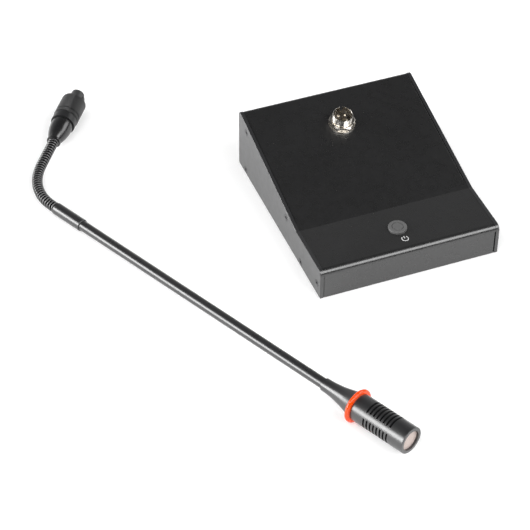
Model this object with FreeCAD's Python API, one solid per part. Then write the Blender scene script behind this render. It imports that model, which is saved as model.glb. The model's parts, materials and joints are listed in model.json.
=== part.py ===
import FreeCAD, Part
import math
import os

# Gooseneck podium microphone: a wedge-shaped desk base, with its stem unplugged and lying beside it.
# Millimetres. X runs across the base, Y from its front to its rear, and Z up.
# The origin is the centre of the underside of the base's bottom plate.

V = FreeCAD.Vector
X_AXIS = V(1, 0, 0)
Y_AXIS = V(0, 1, 0)
Z_AXIS = V(0, 0, 1)

# Base housing
base_width = 145.0
base_depth = 168.7
rear_height = 52.0
front_height = 25.5
front_plane_depth = 48.2
front_bend_radius = 4.5
rear_bend_radius = 3.0
sheet = 1.5
cheek_thickness = 2.8
cheek_proud = 0.3
cheek_edge_radius = 0.5
cheek_heel_radius = 2.0
flange_reach = 10.0
flange_bend_radius = 1.4
flange_relief = 8.0
front_flange_foot = 3.0
bottom_flange_height = 8.0
bottom_flange_front_setback = 20.0
bottom_flange_rear_setback = 5.0
seam_gap = 0.2

# Screws, with the cheek screws set in from the bent faces
screw_radius = 1.5
screw_length = 8.0
screw_head_radius = 2.9
screw_key_width = 2.0
screw_key_depth = 1.0
thread_clearance = 0.05
countersink_clearance = 0.2
screw_inset = 6.2
slope_screw_front_inset = 19.0
slope_screw_rear_inset = 18.1
front_screw_height = 10.3
bottom_screw_height = 4.0
bottom_screw_front_inset = 38.2
bottom_screw_rear_inset = 15.1

# Rubber feet
foot_radius = 6.0
foot_drop = 1.0
foot_recess = 0.5
foot_recess_radius = 6.5
foot_edge_radius = 0.4
foot_side_inset = 17.5
foot_end_inset = 16.0

# Stem socket on the slope
socket_rear_inset = 35.0
barrel_radius = 8.0
barrel_bore_radius = 7.1
barrel_height = 10.6
barrel_flange_radius = 9.5
barrel_flange_thickness = 2.0
barrel_tail_radius = 7.6
barrel_tail_length = 7.0
barrel_edge = 0.5
panel_hole_clearance = 0.15
keyway_width = 2.4
keyway_depth = 4.0
keyway_angle = 10.0
barrel_relief_width = 0.6
barrel_relief_depth = 0.4
nut_across_flats = 18.6
nut_thickness = 3.4
nut_corner_bevel = 0.7
nut_angle = 16.7
washer_radius = 10.6
washer_thickness = 0.8
socket_floor_height = 0.0
socket_pin_radius = 1.0
socket_pin_height = 6.0
socket_pin_circle = 3.7
socket_pin_angles = [-38.0, 50.0, 138.0]
solder_tail_length = 3.5
insert_clearance = 0.02

# Talk button and its switch
button_setback = 25.3
button_radius = 7.2
button_proud = 1.8
button_lip = 0.9
button_lip_thickness = 1.2
button_hole_clearance = 0.3
button_travel = 1.4
button_edge_radius = 0.5
button_ring_radius = 4.6
button_ring_width = 0.7
button_ring_depth = 0.35
plunger_radius = 2.0
plunger_clearance = 0.05
plunger_engagement = 3.0
switch_side = 10.0
switch_height = 7.0

# Circuit board
board_width = 52.0
board_depth = 36.0
board_thickness = 1.6
board_height = 10.4
board_hole_inset = 5.0
standoff_across_flats = 5.5
standoff_bore_depth = 6.0
board_screw_length = 5.0
board_screw_head_radius = 2.7
board_screw_head_height = 2.0
capacitor_radius = 3.0
capacitor_height = 7.5
capacitor_offsets = [(-15.0, -8.0), (15.0, -8.0)]
chip_size = (9.0, 5.0, 1.5)
chip_offset = (13.0, 2.0)
header_size = (8.0, 6.0, 6.0)
header_offset = 10.0

# Rear output connector
output_side_inset = 36.5
output_height = 25.0
output_plate_width = 26.0
output_plate_height = 31.0
output_plate_thickness = 2.0
output_plate_corner = 3.0
output_shell_radius = 11.8
output_shell_depth = 20.0
output_bore_radius = 8.1
output_bore_depth = 14.0
output_pin_radius = 1.2
output_pin_height = 11.0
output_pin_circle = 3.8
output_pin_angles = [90.0, -90.0, 0.0]
output_screw_spacing_x = 19.0
output_screw_spacing_z = 24.0

# Leads inside the base
lead_radius = 1.5
lead_exit = 16.0
socket_lead_points = [V(-8.0, 2.0, 9.0), V(-4.0, 26.0, 9.0)]
socket_lead_rise = 9.0
socket_lead_sweep = V(-1.0, -6.0, -5.0)
output_lead_points = [V(13.0, 0.0, 10.0), V(24.0, 20.0, 12.0)]
output_lead_run = 20.0
output_lead_drop = 4.0

# Stem tube, measured along its own X axis from the neck's end of the ferrule
stem_x = -225.3
stem_y = 77.8
stem_heading = -64.98
ferrule_length = 30.0
ferrule_radius = 4.8
ferrule_edge_radius = 0.6
tube_radius = 4.0
tube_wall = 0.8
tube_insertion = 12.0
joint_clearance = 0.02

# Ribbed neck
neck_length = 83.7
neck_spans = 8
ribs_per_span = 5
rib_valley_radius = 3.45
rib_crest_radius = 4.1
rib_flank = 0.4
neck_bore_radius = 2.2
neck_bend_angle = 62.5
neck_bend_start = 5.1
neck_bend_length = 49.1
neck_joint_angle = 18.0
neck_joint_clearance = 0.04

# Microphone lead inside the stem
mic_lead_radius = 1.4

# Plug, measured along its own X axis from its end at the neck
collar_length = 2.0
collar_radius = 5.6
cone_length = 18.6
cone_small_radius = 5.2
cone_large_radius = 8.8
cone_belly = 1.1
plug_gap = 0.8
plug_gap_radius = 7.8
band_length = 6.6
band_radius = 9.9
band_edge_radius = 0.6
coupling_gap = 0.35
coupling_length = 20.6
coupling_radius = 10.2
coupling_front_round = 1.0
coupling_groove_width = 0.9
coupling_groove_depth = 0.5
coupling_groove_setback = 3.2
coupling_thread_depth = 10.5
coupling_thread_clearance = 0.06
core_radius = 6.5
core_shoulder_length = 1.6
core_shoulder_radius = 7.8
running_clearance = 0.06
axial_clearance = 0.2
nose_radius = 5.5
nose_reach = 9.7
nose_edge_radius = 0.5
key_inner_radius = 6.2
key_clearance = 0.08
key_angle = 42.0
key_side_angle = 180.0
key_reach = 5.6
contact_radius = 1.3
contact_bore_depth = 7.0

# Microphone head, measured along the tube's X axis
ring_station = 310.1
ring_width = 3.4
ring_radius = 13.0
ring_bore_radius = 6.5
cone_start = 281.0
head_cone_small_radius = 4.9
head_cone_large_radius = 9.9
head_cone_hollow = 1.2
led_pocket_depth = 3.0
led_pocket_radius = 8.2
led_board_thickness = 1.0
led_size = (0.8, 2.0, 1.2)
led_count = 4
spigot_length = 13.0
spigot_wall = 1.6
head_radius = 10.25
head_wall = 1.1
head_floor = 1.6
sleeve_length = 39.5
slot_count = 8
slot_rows = 3
slot_pitch = 2.96
slot_width = 1.4
slot_angle = 92.0
slot_first = 12.2
slot_row_angle = 77.0
gauze_thickness = 0.3
gauze_floor_gap = 1.0
cap_length = 7.3
cap_rim_wall = 2.5
cap_rim_depth = 1.8
cap_spigot_length = 4.0
screen_thickness = 1.0
capsule_radius = 5.0
capsule_length = 8.0
holder_length = 6.0

# Sizes worked out from the ones above
slope_run = base_depth - front_plane_depth
slope_rise = rear_height - front_height
slope_angle = math.degrees(math.atan2(slope_rise, slope_run))
slope_length = math.hypot(slope_run, slope_rise)
front_y = -base_depth / 2
rear_y = base_depth / 2
crease_y = front_y + front_plane_depth
shell_width = base_width - 2 * cheek_thickness
button_y = front_y + button_setback
socket_station = slope_length - socket_rear_inset
output_offset = base_width / 2 - output_side_inset
span_length = neck_length / neck_spans
half_limit = math.radians(neck_joint_angle / 2)
joint_gap = rib_valley_radius * math.tan(half_limit) + neck_joint_clearance
band_start = collar_length + cone_length + plug_gap
coupling_start = band_start + band_length + coupling_gap
coupling_end = coupling_start + coupling_length
nose_tip = coupling_end + nose_reach
shoulder_end = coupling_end - coupling_thread_depth + core_shoulder_length + axial_clearance
sleeve_start = ring_station + ring_width
sleeve_end = sleeve_start + sleeve_length
head_front = sleeve_end + cap_length


def fuse(shapes):
    """Joins shapes into one, without the seams between them."""
    joined = shapes[0].fuse(shapes[1:])
    return joined.removeSplitter()


def mirrored(shape):
    """The same shape on the other side of the base's middle plane."""
    return shape.mirror(V(0, 0, 0), X_AXIS)


def placed(shape, position, rotation=FreeCAD.Rotation()):
    """A copy of the shape, turned and then moved."""
    copy = shape.copy()
    copy.Placement = FreeCAD.Placement(position, rotation).multiply(copy.Placement)
    return copy


def rounded_face(corners, radii):
    """Flat face inside the corners, each rounded by its radius, where zero leaves it sharp."""
    rounds = []
    for i, here in enumerate(corners):
        back = (corners[i - 1] - here).normalize()
        ahead = (corners[(i + 1) % len(corners)] - here).normalize()
        half = back.getAngle(ahead) / 2
        reach = radii[i] / math.tan(half)
        depth = radii[i] / math.sin(half) - radii[i]
        middle = (back + ahead).normalize()
        rounds.append((here + back * reach, here + middle * depth, here + ahead * reach))
    edges = []
    for i, (start, middle, end) in enumerate(rounds):
        if radii[i] > 0:
            edges.append(Part.Arc(start, middle, end).toShape())
        edges.append(Part.makeLine(end, rounds[(i + 1) % len(rounds)][0]))
    return Part.Face(Part.Wire(edges))


def turned(points):
    """Solid turned about the X axis from a closed outline of (x, radius) points."""
    corners = [V(x, radius, 0) for x, radius in points]
    outline = Part.makePolygon(corners + corners[:1])
    return Part.Face(outline).revolve(V(0, 0, 0), X_AXIS, 360)


def sleeve(start, end, outer, inner):
    """Plain tube along the X axis."""
    return turned([(start, inner), (start, outer), (end, outer), (end, inner)])


def round_rims(shape, radius, stations, rim_radius):
    """Rounds the circular edges that lie at the stations along X, at the rim radius."""
    edges = []
    for edge in shape.Edges:
        box = edge.BoundBox
        if box.XLength > 0.001 or abs(box.YLength / 2 - rim_radius) > 0.01:
            continue
        if any(abs(box.XMin - station) < 0.001 for station in stations):
            edges.append(edge)
    return shape.makeFillet(radius, edges)


def upright(shape):
    """Turns a shape made along the X axis so that it stands along Z."""
    return placed(shape, V(0, 0, 0), FreeCAD.Rotation(X_AXIS, Z_AXIS))


def tube_along(points, radius):
    """Round lead along straight runs that are joined by arcs as large as the runs allow."""
    edges = []
    here = points[0]
    for before, corner, after in zip(points, points[1:], points[2:]):
        back = (before - corner).normalize()
        ahead = (after - corner).normalize()
        half = back.getAngle(ahead) / 2
        shorter = min((before - corner).Length, (after - corner).Length)
        reach = 0.45 * shorter
        arc_radius = reach * math.tan(half)
        middle = corner + (back + ahead).normalize() * (arc_radius / math.sin(half) - arc_radius)
        start = corner + back * reach
        end = corner + ahead * reach
        edges.append(Part.makeLine(here, start))
        edges.append(Part.Arc(start, middle, end).toShape())
        here = end
    edges.append(Part.makeLine(here, points[-1]))
    path = Part.Wire(edges)
    section = Part.Wire(Part.makeCircle(radius, points[0], points[1] - points[0]))
    return path.makePipeShell([section], True, False)


def countersunk_screw():
    """Countersunk screw with its head's face at the origin, facing +Z."""
    head_height = screw_head_radius - screw_radius
    head = Part.makeCone(screw_radius, screw_head_radius, head_height, V(0, 0, -head_height))
    shank = Part.makeCylinder(screw_radius, screw_length, V(0, 0, -screw_length))
    return fuse([head, shank]).cut(hexagon(screw_key_width, screw_key_depth, -screw_key_depth))


def countersink():
    """Cutter for a countersunk hole whose mouth faces +Z at the origin."""
    mouth = screw_head_radius + countersink_clearance
    cone = Part.makeCone(0, mouth, mouth)
    hole_radius = screw_radius + countersink_clearance
    hole = Part.makeCylinder(hole_radius, 2 * screw_length, V(0, 0, -screw_length))
    return fuse([placed(cone, V(0, 0, -mouth)), hole])


def hexagon(across_flats, height, foot):
    """Upright six-sided prism on the Z axis."""
    corner = across_flats / math.sqrt(3)
    angles = [math.radians(60 * i) for i in range(7)]
    points = [V(corner * math.cos(a), corner * math.sin(a), foot) for a in angles]
    return Part.Face(Part.makePolygon(points)).extrude(V(0, 0, height))


# Base housing

def base_face(inset, floor, heel_radius=0.0):
    """Side view of the base in the YZ plane, drawn in by the inset, down to the floor height."""
    top = front_height - inset
    front = front_y + inset
    rear = rear_y - inset
    crease = crease_y + inset * math.tan(math.radians(slope_angle) / 2)
    rear_top = top + (rear - crease) * math.tan(math.radians(slope_angle))
    outline = [(front, floor), (front, top), (crease, top), (rear, rear_top), (rear, floor)]
    corners = [V(0, y, z) for y, z in outline]
    radii = [0, front_bend_radius - inset, 0, rear_bend_radius - inset, heel_radius]
    return rounded_face(corners, radii)


def slab(face, width):
    """Extrudes a side view to a width that is centred on the base."""
    return placed(face, V(-width / 2, 0, 0)).extrude(V(width, 0, 0))


def on_slope(shape, station):
    """Seats a shape made on the XY plane onto the slope, at a distance up it from the crease."""
    angle = math.radians(slope_angle)
    foot = V(0, crease_y + station * math.cos(angle), front_height + station * math.sin(angle))
    return placed(shape, foot, FreeCAD.Rotation(X_AXIS, slope_angle))


def on_rear(shape):
    """Seats a shape made on the XY plane onto the rear wall, at the output connector."""
    return placed(shape, V(output_offset, rear_y, output_height), FreeCAD.Rotation(Z_AXIS, Y_AXIS))


def bend_cutter(length):
    """Cutter that rounds an outside corner on the Y axis, with the metal at negative X and Z."""
    r = flange_bend_radius
    block = Part.makeBox(2 * r, length, 2 * r, V(-r, 0, -r))
    rod = Part.makeCylinder(r, length, V(-r, 0, -r), Y_AXIS)
    return block.cut(rod)


def cheek_screw_places():
    """Centres of one cheek's screws in the side view."""
    angle = math.radians(slope_angle)
    places = []
    for station in (slope_screw_front_inset, slope_length - slope_screw_rear_inset):
        y = crease_y + station * math.cos(angle) + screw_inset * math.sin(angle)
        z = front_height + station * math.sin(angle) - screw_inset * math.cos(angle)
        places.append((y, z))
    places.append((front_y + screw_inset, front_screw_height))
    places.append((front_y + bottom_screw_front_inset, bottom_screw_height))
    places.append((rear_y - bottom_screw_rear_inset, bottom_screw_height))
    return places


def threaded_holes():
    """Cutters right across the base for all the cheek screws' threads."""
    start = V(-base_width / 2, 0, 0)
    hole = Part.makeCylinder(screw_radius + thread_clearance, base_width, start, X_AXIS)
    return [placed(hole, V(0, y, z)) for y, z in cheek_screw_places()]


def through_sheet(radius):
    """Cutter for a round hole through the sheet, on the Z axis with the sheet's face at its middle."""
    return Part.makeCylinder(radius, 4 * sheet, V(0, 0, -2 * sheet))


def top_shell():
    """Bent sheet with the front wall, front plane, slope and rear wall, and flanges at its sides."""
    outside = slab(base_face(0, 0), shell_width)
    inside = slab(base_face(sheet, -sheet), 2 * shell_width)
    half = shell_width / 2
    heel_relief = flange_relief + 2 * flange_reach * math.sin(math.radians(slope_angle))
    flange_length = slope_length - flange_relief - heel_relief
    slope_flange = Part.makeBox(sheet, flange_length, flange_reach, V(half - sheet, 0, -flange_reach))
    slope_flange = on_slope(slope_flange, flange_relief)
    front_top = front_height - front_bend_radius
    front_flange = Part.makeBox(sheet, flange_reach, front_top - front_flange_foot)
    front_flange = placed(front_flange, V(half - sheet, front_y, front_flange_foot))
    flanges = [slope_flange, front_flange, mirrored(slope_flange), mirrored(front_flange)]
    shell = fuse([outside.cut(inside)] + flanges)
    slope_bend = on_slope(placed(bend_cutter(flange_length), V(half, 0, 0)), flange_relief)
    stand_up = FreeCAD.Rotation(X_AXIS, 90)
    front_bend = placed(bend_cutter(front_top), V(half, front_y, 0), stand_up)
    button_hole = Part.makeCylinder(button_radius + button_hole_clearance, front_height)
    button_hole = placed(button_hole, V(0, button_y, sheet))
    panel_hole = through_sheet(barrel_radius + panel_hole_clearance)
    output_hole = through_sheet(output_shell_radius + panel_hole_clearance)
    cutters = [slope_bend, front_bend, mirrored(slope_bend), mirrored(front_bend), button_hole]
    cutters += [on_slope(panel_hole, socket_station), on_rear(output_hole)]
    thread_hole = through_sheet(screw_radius + thread_clearance)
    cutters += [on_rear(hole) for hole in at_output_screws(thread_hole)]
    return shell.cut(cutters + threaded_holes())


def bottom_plate():
    """Flat sheet with upturned side flanges, and a shallow recess under each foot."""
    front = front_y + sheet + seam_gap
    depth = base_depth - 2 * (sheet + seam_gap)
    floor = Part.makeBox(shell_width, depth, sheet, V(-shell_width / 2, front, 0))
    flange_start = front_y + bottom_flange_front_setback
    flange_length = base_depth - bottom_flange_front_setback - bottom_flange_rear_setback
    flange = Part.makeBox(sheet, flange_length, bottom_flange_height)
    flange = placed(flange, V(shell_width / 2 - sheet, flange_start, 0))
    recess = Part.makeCylinder(foot_recess_radius, 2 * foot_recess, V(0, 0, -foot_recess))
    cutters = [placed(recess, place) for place in foot_places()] + threaded_holes()
    return fuse([floor, flange, mirrored(flange)]).cut(cutters)


def foot_places():
    """Centres of the four feet on the underside."""
    x = base_width / 2 - foot_side_inset
    y = base_depth / 2 - foot_end_inset
    return [V(sx * x, sy * y, 0) for sx in (-1, 1) for sy in (-1, 1)]


def rubber_feet():
    """Four round feet in the recesses of the bottom plate."""
    disc = sleeve_disc(-foot_drop, foot_recess, foot_radius)
    foot = upright(round_rims(disc, foot_edge_radius, [-foot_drop], foot_radius))
    return [placed(foot, place) for place in foot_places()]


def sleeve_disc(start, end, radius):
    """Plain disc along the X axis."""
    return Part.makeCylinder(radius, end - start, V(start, 0, 0), X_AXIS)


def right_cheek():
    """End plate with countersunk holes, standing slightly proud of the bent sheet."""
    face = base_face(-cheek_proud, 0, cheek_heel_radius)
    outside = base_width / 2
    plate = placed(face, V(outside - cheek_thickness, 0, 0)).extrude(V(cheek_thickness, 0, 0))
    rim = [edge for edge in plate.Edges if edge.BoundBox.XMin > outside - 0.001]
    plate = plate.makeFillet(cheek_edge_radius, rim)
    face_out = FreeCAD.Rotation(Z_AXIS, X_AXIS)
    return plate.cut([placed(countersink(), V(outside, y, z), face_out) for y, z in cheek_screw_places()])


def right_cheek_screws():
    """The screws that hold the right cheek to the flanges."""
    face_out = FreeCAD.Rotation(Z_AXIS, X_AXIS)
    places = [V(base_width / 2, y, z) for y, z in cheek_screw_places()]
    return [placed(countersunk_screw(), place, face_out) for place in places]


# Stem socket

def at_pins(shape, circle, angles):
    """Copies of an upright shape round a pin circle."""
    turns = [math.radians(angle) for angle in angles]
    return [placed(shape, V(circle * math.sin(a), circle * math.cos(a), 0)) for a in turns]


def socket_barrel():
    """Threaded barrel that comes up through the slope, with a relief groove above the nut."""
    flange_top = -sheet
    flange_foot = flange_top - barrel_flange_thickness
    tail_foot = flange_foot - barrel_tail_length
    relief_foot = washer_thickness + nut_thickness
    relief_top = relief_foot + barrel_relief_width
    relief_radius = barrel_radius - barrel_relief_depth
    outline = [
        (tail_foot, barrel_bore_radius), (tail_foot, barrel_tail_radius),
        (flange_foot, barrel_tail_radius), (flange_foot, barrel_flange_radius),
        (flange_top, barrel_flange_radius), (flange_top, barrel_radius),
        (relief_foot, barrel_radius), (relief_foot, relief_radius),
        (relief_top, relief_radius), (relief_top, barrel_radius),
        (barrel_height - barrel_edge, barrel_radius), (barrel_height, barrel_radius - barrel_edge),
        (barrel_height, barrel_bore_radius),
    ]
    keyway = Part.makeBox(keyway_width, 2 * barrel_radius, keyway_depth)
    keyway = placed(keyway, V(-keyway_width / 2, 0, barrel_height - keyway_depth))
    keyway = placed(keyway, V(0, 0, 0), FreeCAD.Rotation(Z_AXIS, -keyway_angle))
    return on_slope(upright(turned(outline)).cut(keyway), socket_station)


def socket_insert():
    """Black disc at the bottom of the bore, which carries the pins."""
    foot = -sheet - barrel_flange_thickness - barrel_tail_length
    radius = barrel_bore_radius - insert_clearance
    disc = Part.makeCylinder(radius, socket_floor_height - foot, V(0, 0, foot))
    hole = Part.makeCylinder(socket_pin_radius, 2 * barrel_height, V(0, 0, -barrel_height))
    return on_slope(disc.cut(at_pins(hole, socket_pin_circle, socket_pin_angles)), socket_station)


def contact_pin(radius, top, foot):
    """Upright pin with a rounded tip."""
    pin = sleeve_disc(foot, top, radius)
    return upright(round_rims(pin, 0.6 * radius, [top], radius))


def socket_pins():
    """Contact pins of the socket, with solder tails behind."""
    foot = -sheet - barrel_flange_thickness - barrel_tail_length - solder_tail_length
    pin = contact_pin(socket_pin_radius, socket_pin_height, foot)
    return [on_slope(one, socket_station) for one in at_pins(pin, socket_pin_circle, socket_pin_angles)]


def socket_washer():
    """Washer between the nut and the slope."""
    ring = sleeve(0, washer_thickness, washer_radius, barrel_radius + thread_clearance)
    return on_slope(upright(ring), socket_station)


def socket_nut():
    """Hexagon nut, bevelled at its corners."""
    top = washer_thickness + nut_thickness
    corner_radius = nut_across_flats / math.sqrt(3)
    flat_radius = nut_across_flats / 2
    prism = hexagon(nut_across_flats, nut_thickness, washer_thickness)
    bevel = turned([
        (washer_thickness, 0), (washer_thickness, corner_radius), (top - nut_corner_bevel, corner_radius),
        (top, flat_radius), (top, 0),
    ])
    bore = Part.makeCylinder(barrel_radius + thread_clearance, 3 * nut_thickness)
    nut = prism.common(upright(bevel)).cut(bore)
    nut = placed(nut, V(0, 0, 0), FreeCAD.Rotation(Z_AXIS, -nut_angle))
    return on_slope(nut, socket_station)


# Talk button, switch and circuit board

def button_underside():
    """Height of the button cap's lower face."""
    return front_height - sheet - seam_gap - button_lip_thickness


def button_cap():
    """Round cap with a shallow ring groove, and a lip that keeps it under the sheet."""
    top = front_height + button_proud
    foot = button_underside()
    lip_top = foot + button_lip_thickness
    outline = [
        (foot, 0), (foot, button_radius + button_lip), (lip_top, button_radius + button_lip),
        (lip_top, button_radius), (top, button_radius), (top, 0),
    ]
    cap = round_rims(turned(outline), button_edge_radius, [top], button_radius)
    ring_bore = button_ring_radius - button_ring_width
    groove = sleeve(top - button_ring_depth, top + button_ring_depth, button_ring_radius, ring_bore)
    return placed(upright(cap.cut(groove)), V(0, button_y, 0))


def switch_plunger():
    """Stalk under the cap, which enters the switch."""
    foot = board_top() + switch_height - plunger_engagement
    return Part.makeCylinder(plunger_radius, button_underside() - foot, V(0, button_y, foot))


def board_top():
    """Height of the circuit board's upper face."""
    return board_height + board_thickness


def switch_body():
    """Square push switch on the board, bored for its plunger."""
    half = switch_side / 2
    block = Part.makeBox(switch_side, switch_side, switch_height, V(-half, button_y - half, board_top()))
    radius = plunger_radius + plunger_clearance
    depth = plunger_engagement + button_travel + seam_gap
    foot = board_top() + switch_height - depth
    return block.cut(Part.makeCylinder(radius, 2 * depth, V(0, button_y, foot)))


def board_hole_places():
    """Centres of the board's four fixing holes, at the height of the bottom plate."""
    x = board_width / 2 - board_hole_inset
    y = board_depth / 2 - board_hole_inset
    return [V(sx * x, button_y + sy * y, 0) for sx in (-1, 1) for sy in (-1, 1)]


def circuit_board():
    """Board under the button, on four standoffs."""
    corner = V(-board_width / 2, button_y - board_depth / 2, board_height)
    board = Part.makeBox(board_width, board_depth, board_thickness, corner)
    hole = Part.makeCylinder(screw_radius + thread_clearance, front_height)
    return board.cut([placed(hole, place) for place in board_hole_places()])


def board_standoffs():
    """Hexagon standoffs that stand on the bottom plate."""
    height = board_height - sheet
    bore_radius = screw_radius + thread_clearance
    bore_foot = board_height - standoff_bore_depth
    bore = Part.makeCylinder(bore_radius, standoff_bore_depth, V(0, 0, bore_foot))
    post = hexagon(standoff_across_flats, height, sheet).cut(bore)
    return [placed(post, place) for place in board_hole_places()]


def board_screws():
    """Pan-head screws through the board into the standoffs."""
    head = Part.makeCylinder(board_screw_head_radius, board_screw_head_height, V(0, 0, board_top()))
    shank = Part.makeCylinder(screw_radius, board_screw_length, V(0, 0, board_top() - board_screw_length))
    screw = fuse([head, shank])
    return [placed(screw, place) for place in board_hole_places()]


def board_capacitors():
    """Round capacitors standing on the board."""
    can = Part.makeCylinder(capacitor_radius, capacitor_height, V(0, button_y, board_top()))
    return [placed(can, V(x, y, 0)) for x, y in capacitor_offsets]


def board_chip():
    """Flat amplifier chip on the board."""
    x, y = chip_offset
    return Part.makeBox(*chip_size, V(x, button_y + y, board_top()))


def header_place(side):
    """Centre of the foot of a lead header at the board's rear edge."""
    return V(side * header_offset, button_y + board_depth / 2 - header_size[1] / 2, board_top())


def board_headers():
    """Two headers where the leads plug in."""
    width, depth, height = header_size
    block = Part.makeBox(width, depth, height, V(-width / 2, -depth / 2, 0))
    return [placed(block, header_place(side)) for side in (-1, 1)]


def header_face(side):
    """Middle of the rear face of a header, where its lead starts."""
    return header_place(side) + V(0, header_size[1] / 2, header_size[2] / 2)


def socket_lead():
    """Lead from the left header to the back of the stem socket."""
    behind = sheet + barrel_flange_thickness + barrel_tail_length + solder_tail_length
    points = [Part.Vertex(0, 0, -behind), Part.Vertex(0, 0, -behind - socket_lead_rise)]
    tail, below = [on_slope(point, socket_station).Point for point in points]
    start = header_face(-1)
    route = [start, start + V(0, lead_exit, 0)] + socket_lead_points
    route += [below + socket_lead_sweep, below, tail]
    return tube_along(route, lead_radius)


def output_lead():
    """Lead from the right header to the back of the output connector."""
    start = header_face(1)
    tail = V(output_offset, rear_y - output_shell_depth - solder_tail_length, output_height)
    route = [start, start + V(0, lead_exit, 0)] + output_lead_points
    route += [tail - V(0, output_lead_run, output_lead_drop), tail]
    return tube_along(route, lead_radius)


# Rear output connector, made facing +Z and then seated on the rear wall

def at_output_screws(shape):
    """Copies at the flange's two screws, which sit at opposite corners."""
    x = output_screw_spacing_x / 2
    y = output_screw_spacing_z / 2
    return [placed(shape, V(-x, -y, 0)), placed(shape, V(x, y, 0))]


def through_shell(radius):
    """Cutter for a round hole on the Z axis, longer than the output connector's shell at both ends."""
    return Part.makeCylinder(radius, 2 * output_shell_depth, V(0, 0, -1.5 * output_shell_depth))


def output_shell():
    """Flange and round shell of the output connector, with a blind bore for the plug."""
    x = output_plate_width / 2
    y = output_plate_height / 2
    corners = [V(-x, -y, 0), V(x, -y, 0), V(x, y, 0), V(-x, y, 0)]
    plate = rounded_face(corners, [output_plate_corner] * 4).extrude(V(0, 0, output_plate_thickness))
    shell = Part.makeCylinder(output_shell_radius, output_shell_depth, V(0, 0, -output_shell_depth))
    bore = through_shell(output_bore_radius)
    screw_holes = at_output_screws(placed(countersink(), V(0, 0, output_plate_thickness)))
    return on_rear(fuse([plate, shell]).cut([bore] + screw_holes))


def output_insert():
    """Black disc at the bottom of the output connector's bore."""
    thickness = output_plate_thickness - output_bore_depth + output_shell_depth
    radius = output_bore_radius - insert_clearance
    disc = Part.makeCylinder(radius, thickness, V(0, 0, -output_shell_depth))
    hole = through_shell(output_pin_radius)
    return on_rear(disc.cut(at_pins(hole, output_pin_circle, output_pin_angles)))


def output_pins():
    """Three contact pins of the output connector."""
    top = output_plate_thickness - output_bore_depth + output_pin_height
    pin = contact_pin(output_pin_radius, top, -output_shell_depth - solder_tail_length)
    return [on_rear(one) for one in at_pins(pin, output_pin_circle, output_pin_angles)]


def output_screws():
    """Two countersunk screws through the output flange."""
    screw = placed(countersunk_screw(), V(0, 0, output_plate_thickness))
    return [on_rear(one) for one in at_output_screws(screw)]


# Stem: its own frame has the tube along X and lies in the XY plane

def neck_places():
    """Start and heading of each span of the neck, from the ferrule to the plug, and the plug's own."""
    places = [(V(0, 0, 0), 180.0)]
    for i in range(1, neck_spans + 1):
        here, heading = places[-1]
        step = V(span_length, 0, 0)
        here = here + FreeCAD.Rotation(Z_AXIS, heading).multVec(step)
        places.append((here, heading - neck_rest_turn(i)))
    return places


def neck_rest_turn(joint):
    """Share of the neck's bend that a joint holds, by how much of the bend lies nearest to it."""
    low = max((joint - 0.5) * span_length, neck_bend_start)
    high = min((joint + 0.5) * span_length, neck_bend_start + neck_bend_length)
    return neck_bend_angle * max(high - low, 0) / neck_bend_length


def on_neck(shape, index):
    """Seats a shape made along X at the start of a span, or of the plug after the last span."""
    here, heading = neck_places()[index]
    return placed(shape, here, FreeCAD.Rotation(Z_AXIS, heading))


def stem_placement():
    """Lays the stem on the desk, on its light ring, its ferrule and the plug's band."""
    rear_edge = on_neck(Part.Vertex(band_start, 0, 0), neck_spans).Point
    ring_middle = ring_station + ring_width / 2
    tilt_x = (ring_radius - ferrule_radius) / ring_middle
    tilt_y = (band_radius - ferrule_radius - tilt_x * rear_edge.x) / rear_edge.y
    tilt = FreeCAD.Rotation(Z_AXIS, V(-tilt_x, -tilt_y, 1))
    turn = FreeCAD.Rotation(Z_AXIS, stem_heading)
    return FreeCAD.Placement(V(stem_x, stem_y, ferrule_radius - foot_drop), turn.multiply(tilt))


def on_desk(shape):
    """Moves a shape from the stem's own frame to where the stem lies."""
    place = stem_placement()
    return placed(shape, place.Base, place.Rotation)


def on_plug(shape):
    """Moves a shape from the plug's own frame to where the plug lies."""
    return on_desk(on_neck(shape, neck_spans))


def neck_span():
    """One ribbed span of the neck along X, with half of a joint's gap at each end, and its bore."""
    pitch = (span_length - 2 * joint_gap) / ribs_per_span
    circles = []
    for rib in range(ribs_per_span):
        start = joint_gap + rib * pitch
        circles.append((start, rib_valley_radius))
        circles.append((start + rib_flank, rib_crest_radius))
        circles.append((start + pitch - rib_flank, rib_crest_radius))
    circles.append((span_length - joint_gap, rib_valley_radius))
    wires = [Part.Wire(Part.makeCircle(radius, V(x, 0, 0), X_AXIS)) for x, radius in circles]
    return Part.makeLoft(wires, True, True).cut(sleeve_disc(0, span_length, neck_bore_radius))


def neck_ferrule():
    """Turned sleeve that joins the neck to the tube."""
    body = sleeve_disc(0, ferrule_length, ferrule_radius)
    body = round_rims(body, ferrule_edge_radius, [0, ferrule_length], ferrule_radius)
    seat_start = ferrule_length - tube_insertion
    neck_seat = sleeve_disc(0, seat_start, neck_bore_radius)
    tube_seat = sleeve_disc(seat_start, ferrule_length, tube_radius + joint_clearance)
    return on_desk(body.cut([neck_seat, tube_seat]))


def main_tube():
    """Straight tube from the ferrule to the head cone."""
    start = ferrule_length - tube_insertion
    return on_desk(sleeve(start, cone_start + tube_insertion, tube_radius, tube_radius - tube_wall))


def mic_lead():
    """Lead inside the stem, from the plug's contacts through the neck and tube to the capsule."""
    places = neck_places()
    start = on_neck(Part.Vertex(coupling_start, 0, 0), neck_spans).Point
    bends = [places[i][0] for i in range(neck_spans - 1, 0, -1) if neck_rest_turn(i) > 1]
    end = V(capsule_rear(), 0, 0)
    return on_desk(tube_along([start] + bends + [end], mic_lead_radius))


# Plug, in its own frame along X

def neck_collar():
    """Ring that crimps the plug onto the neck."""
    return on_plug(sleeve(0, collar_length, collar_radius, neck_bore_radius))


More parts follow.
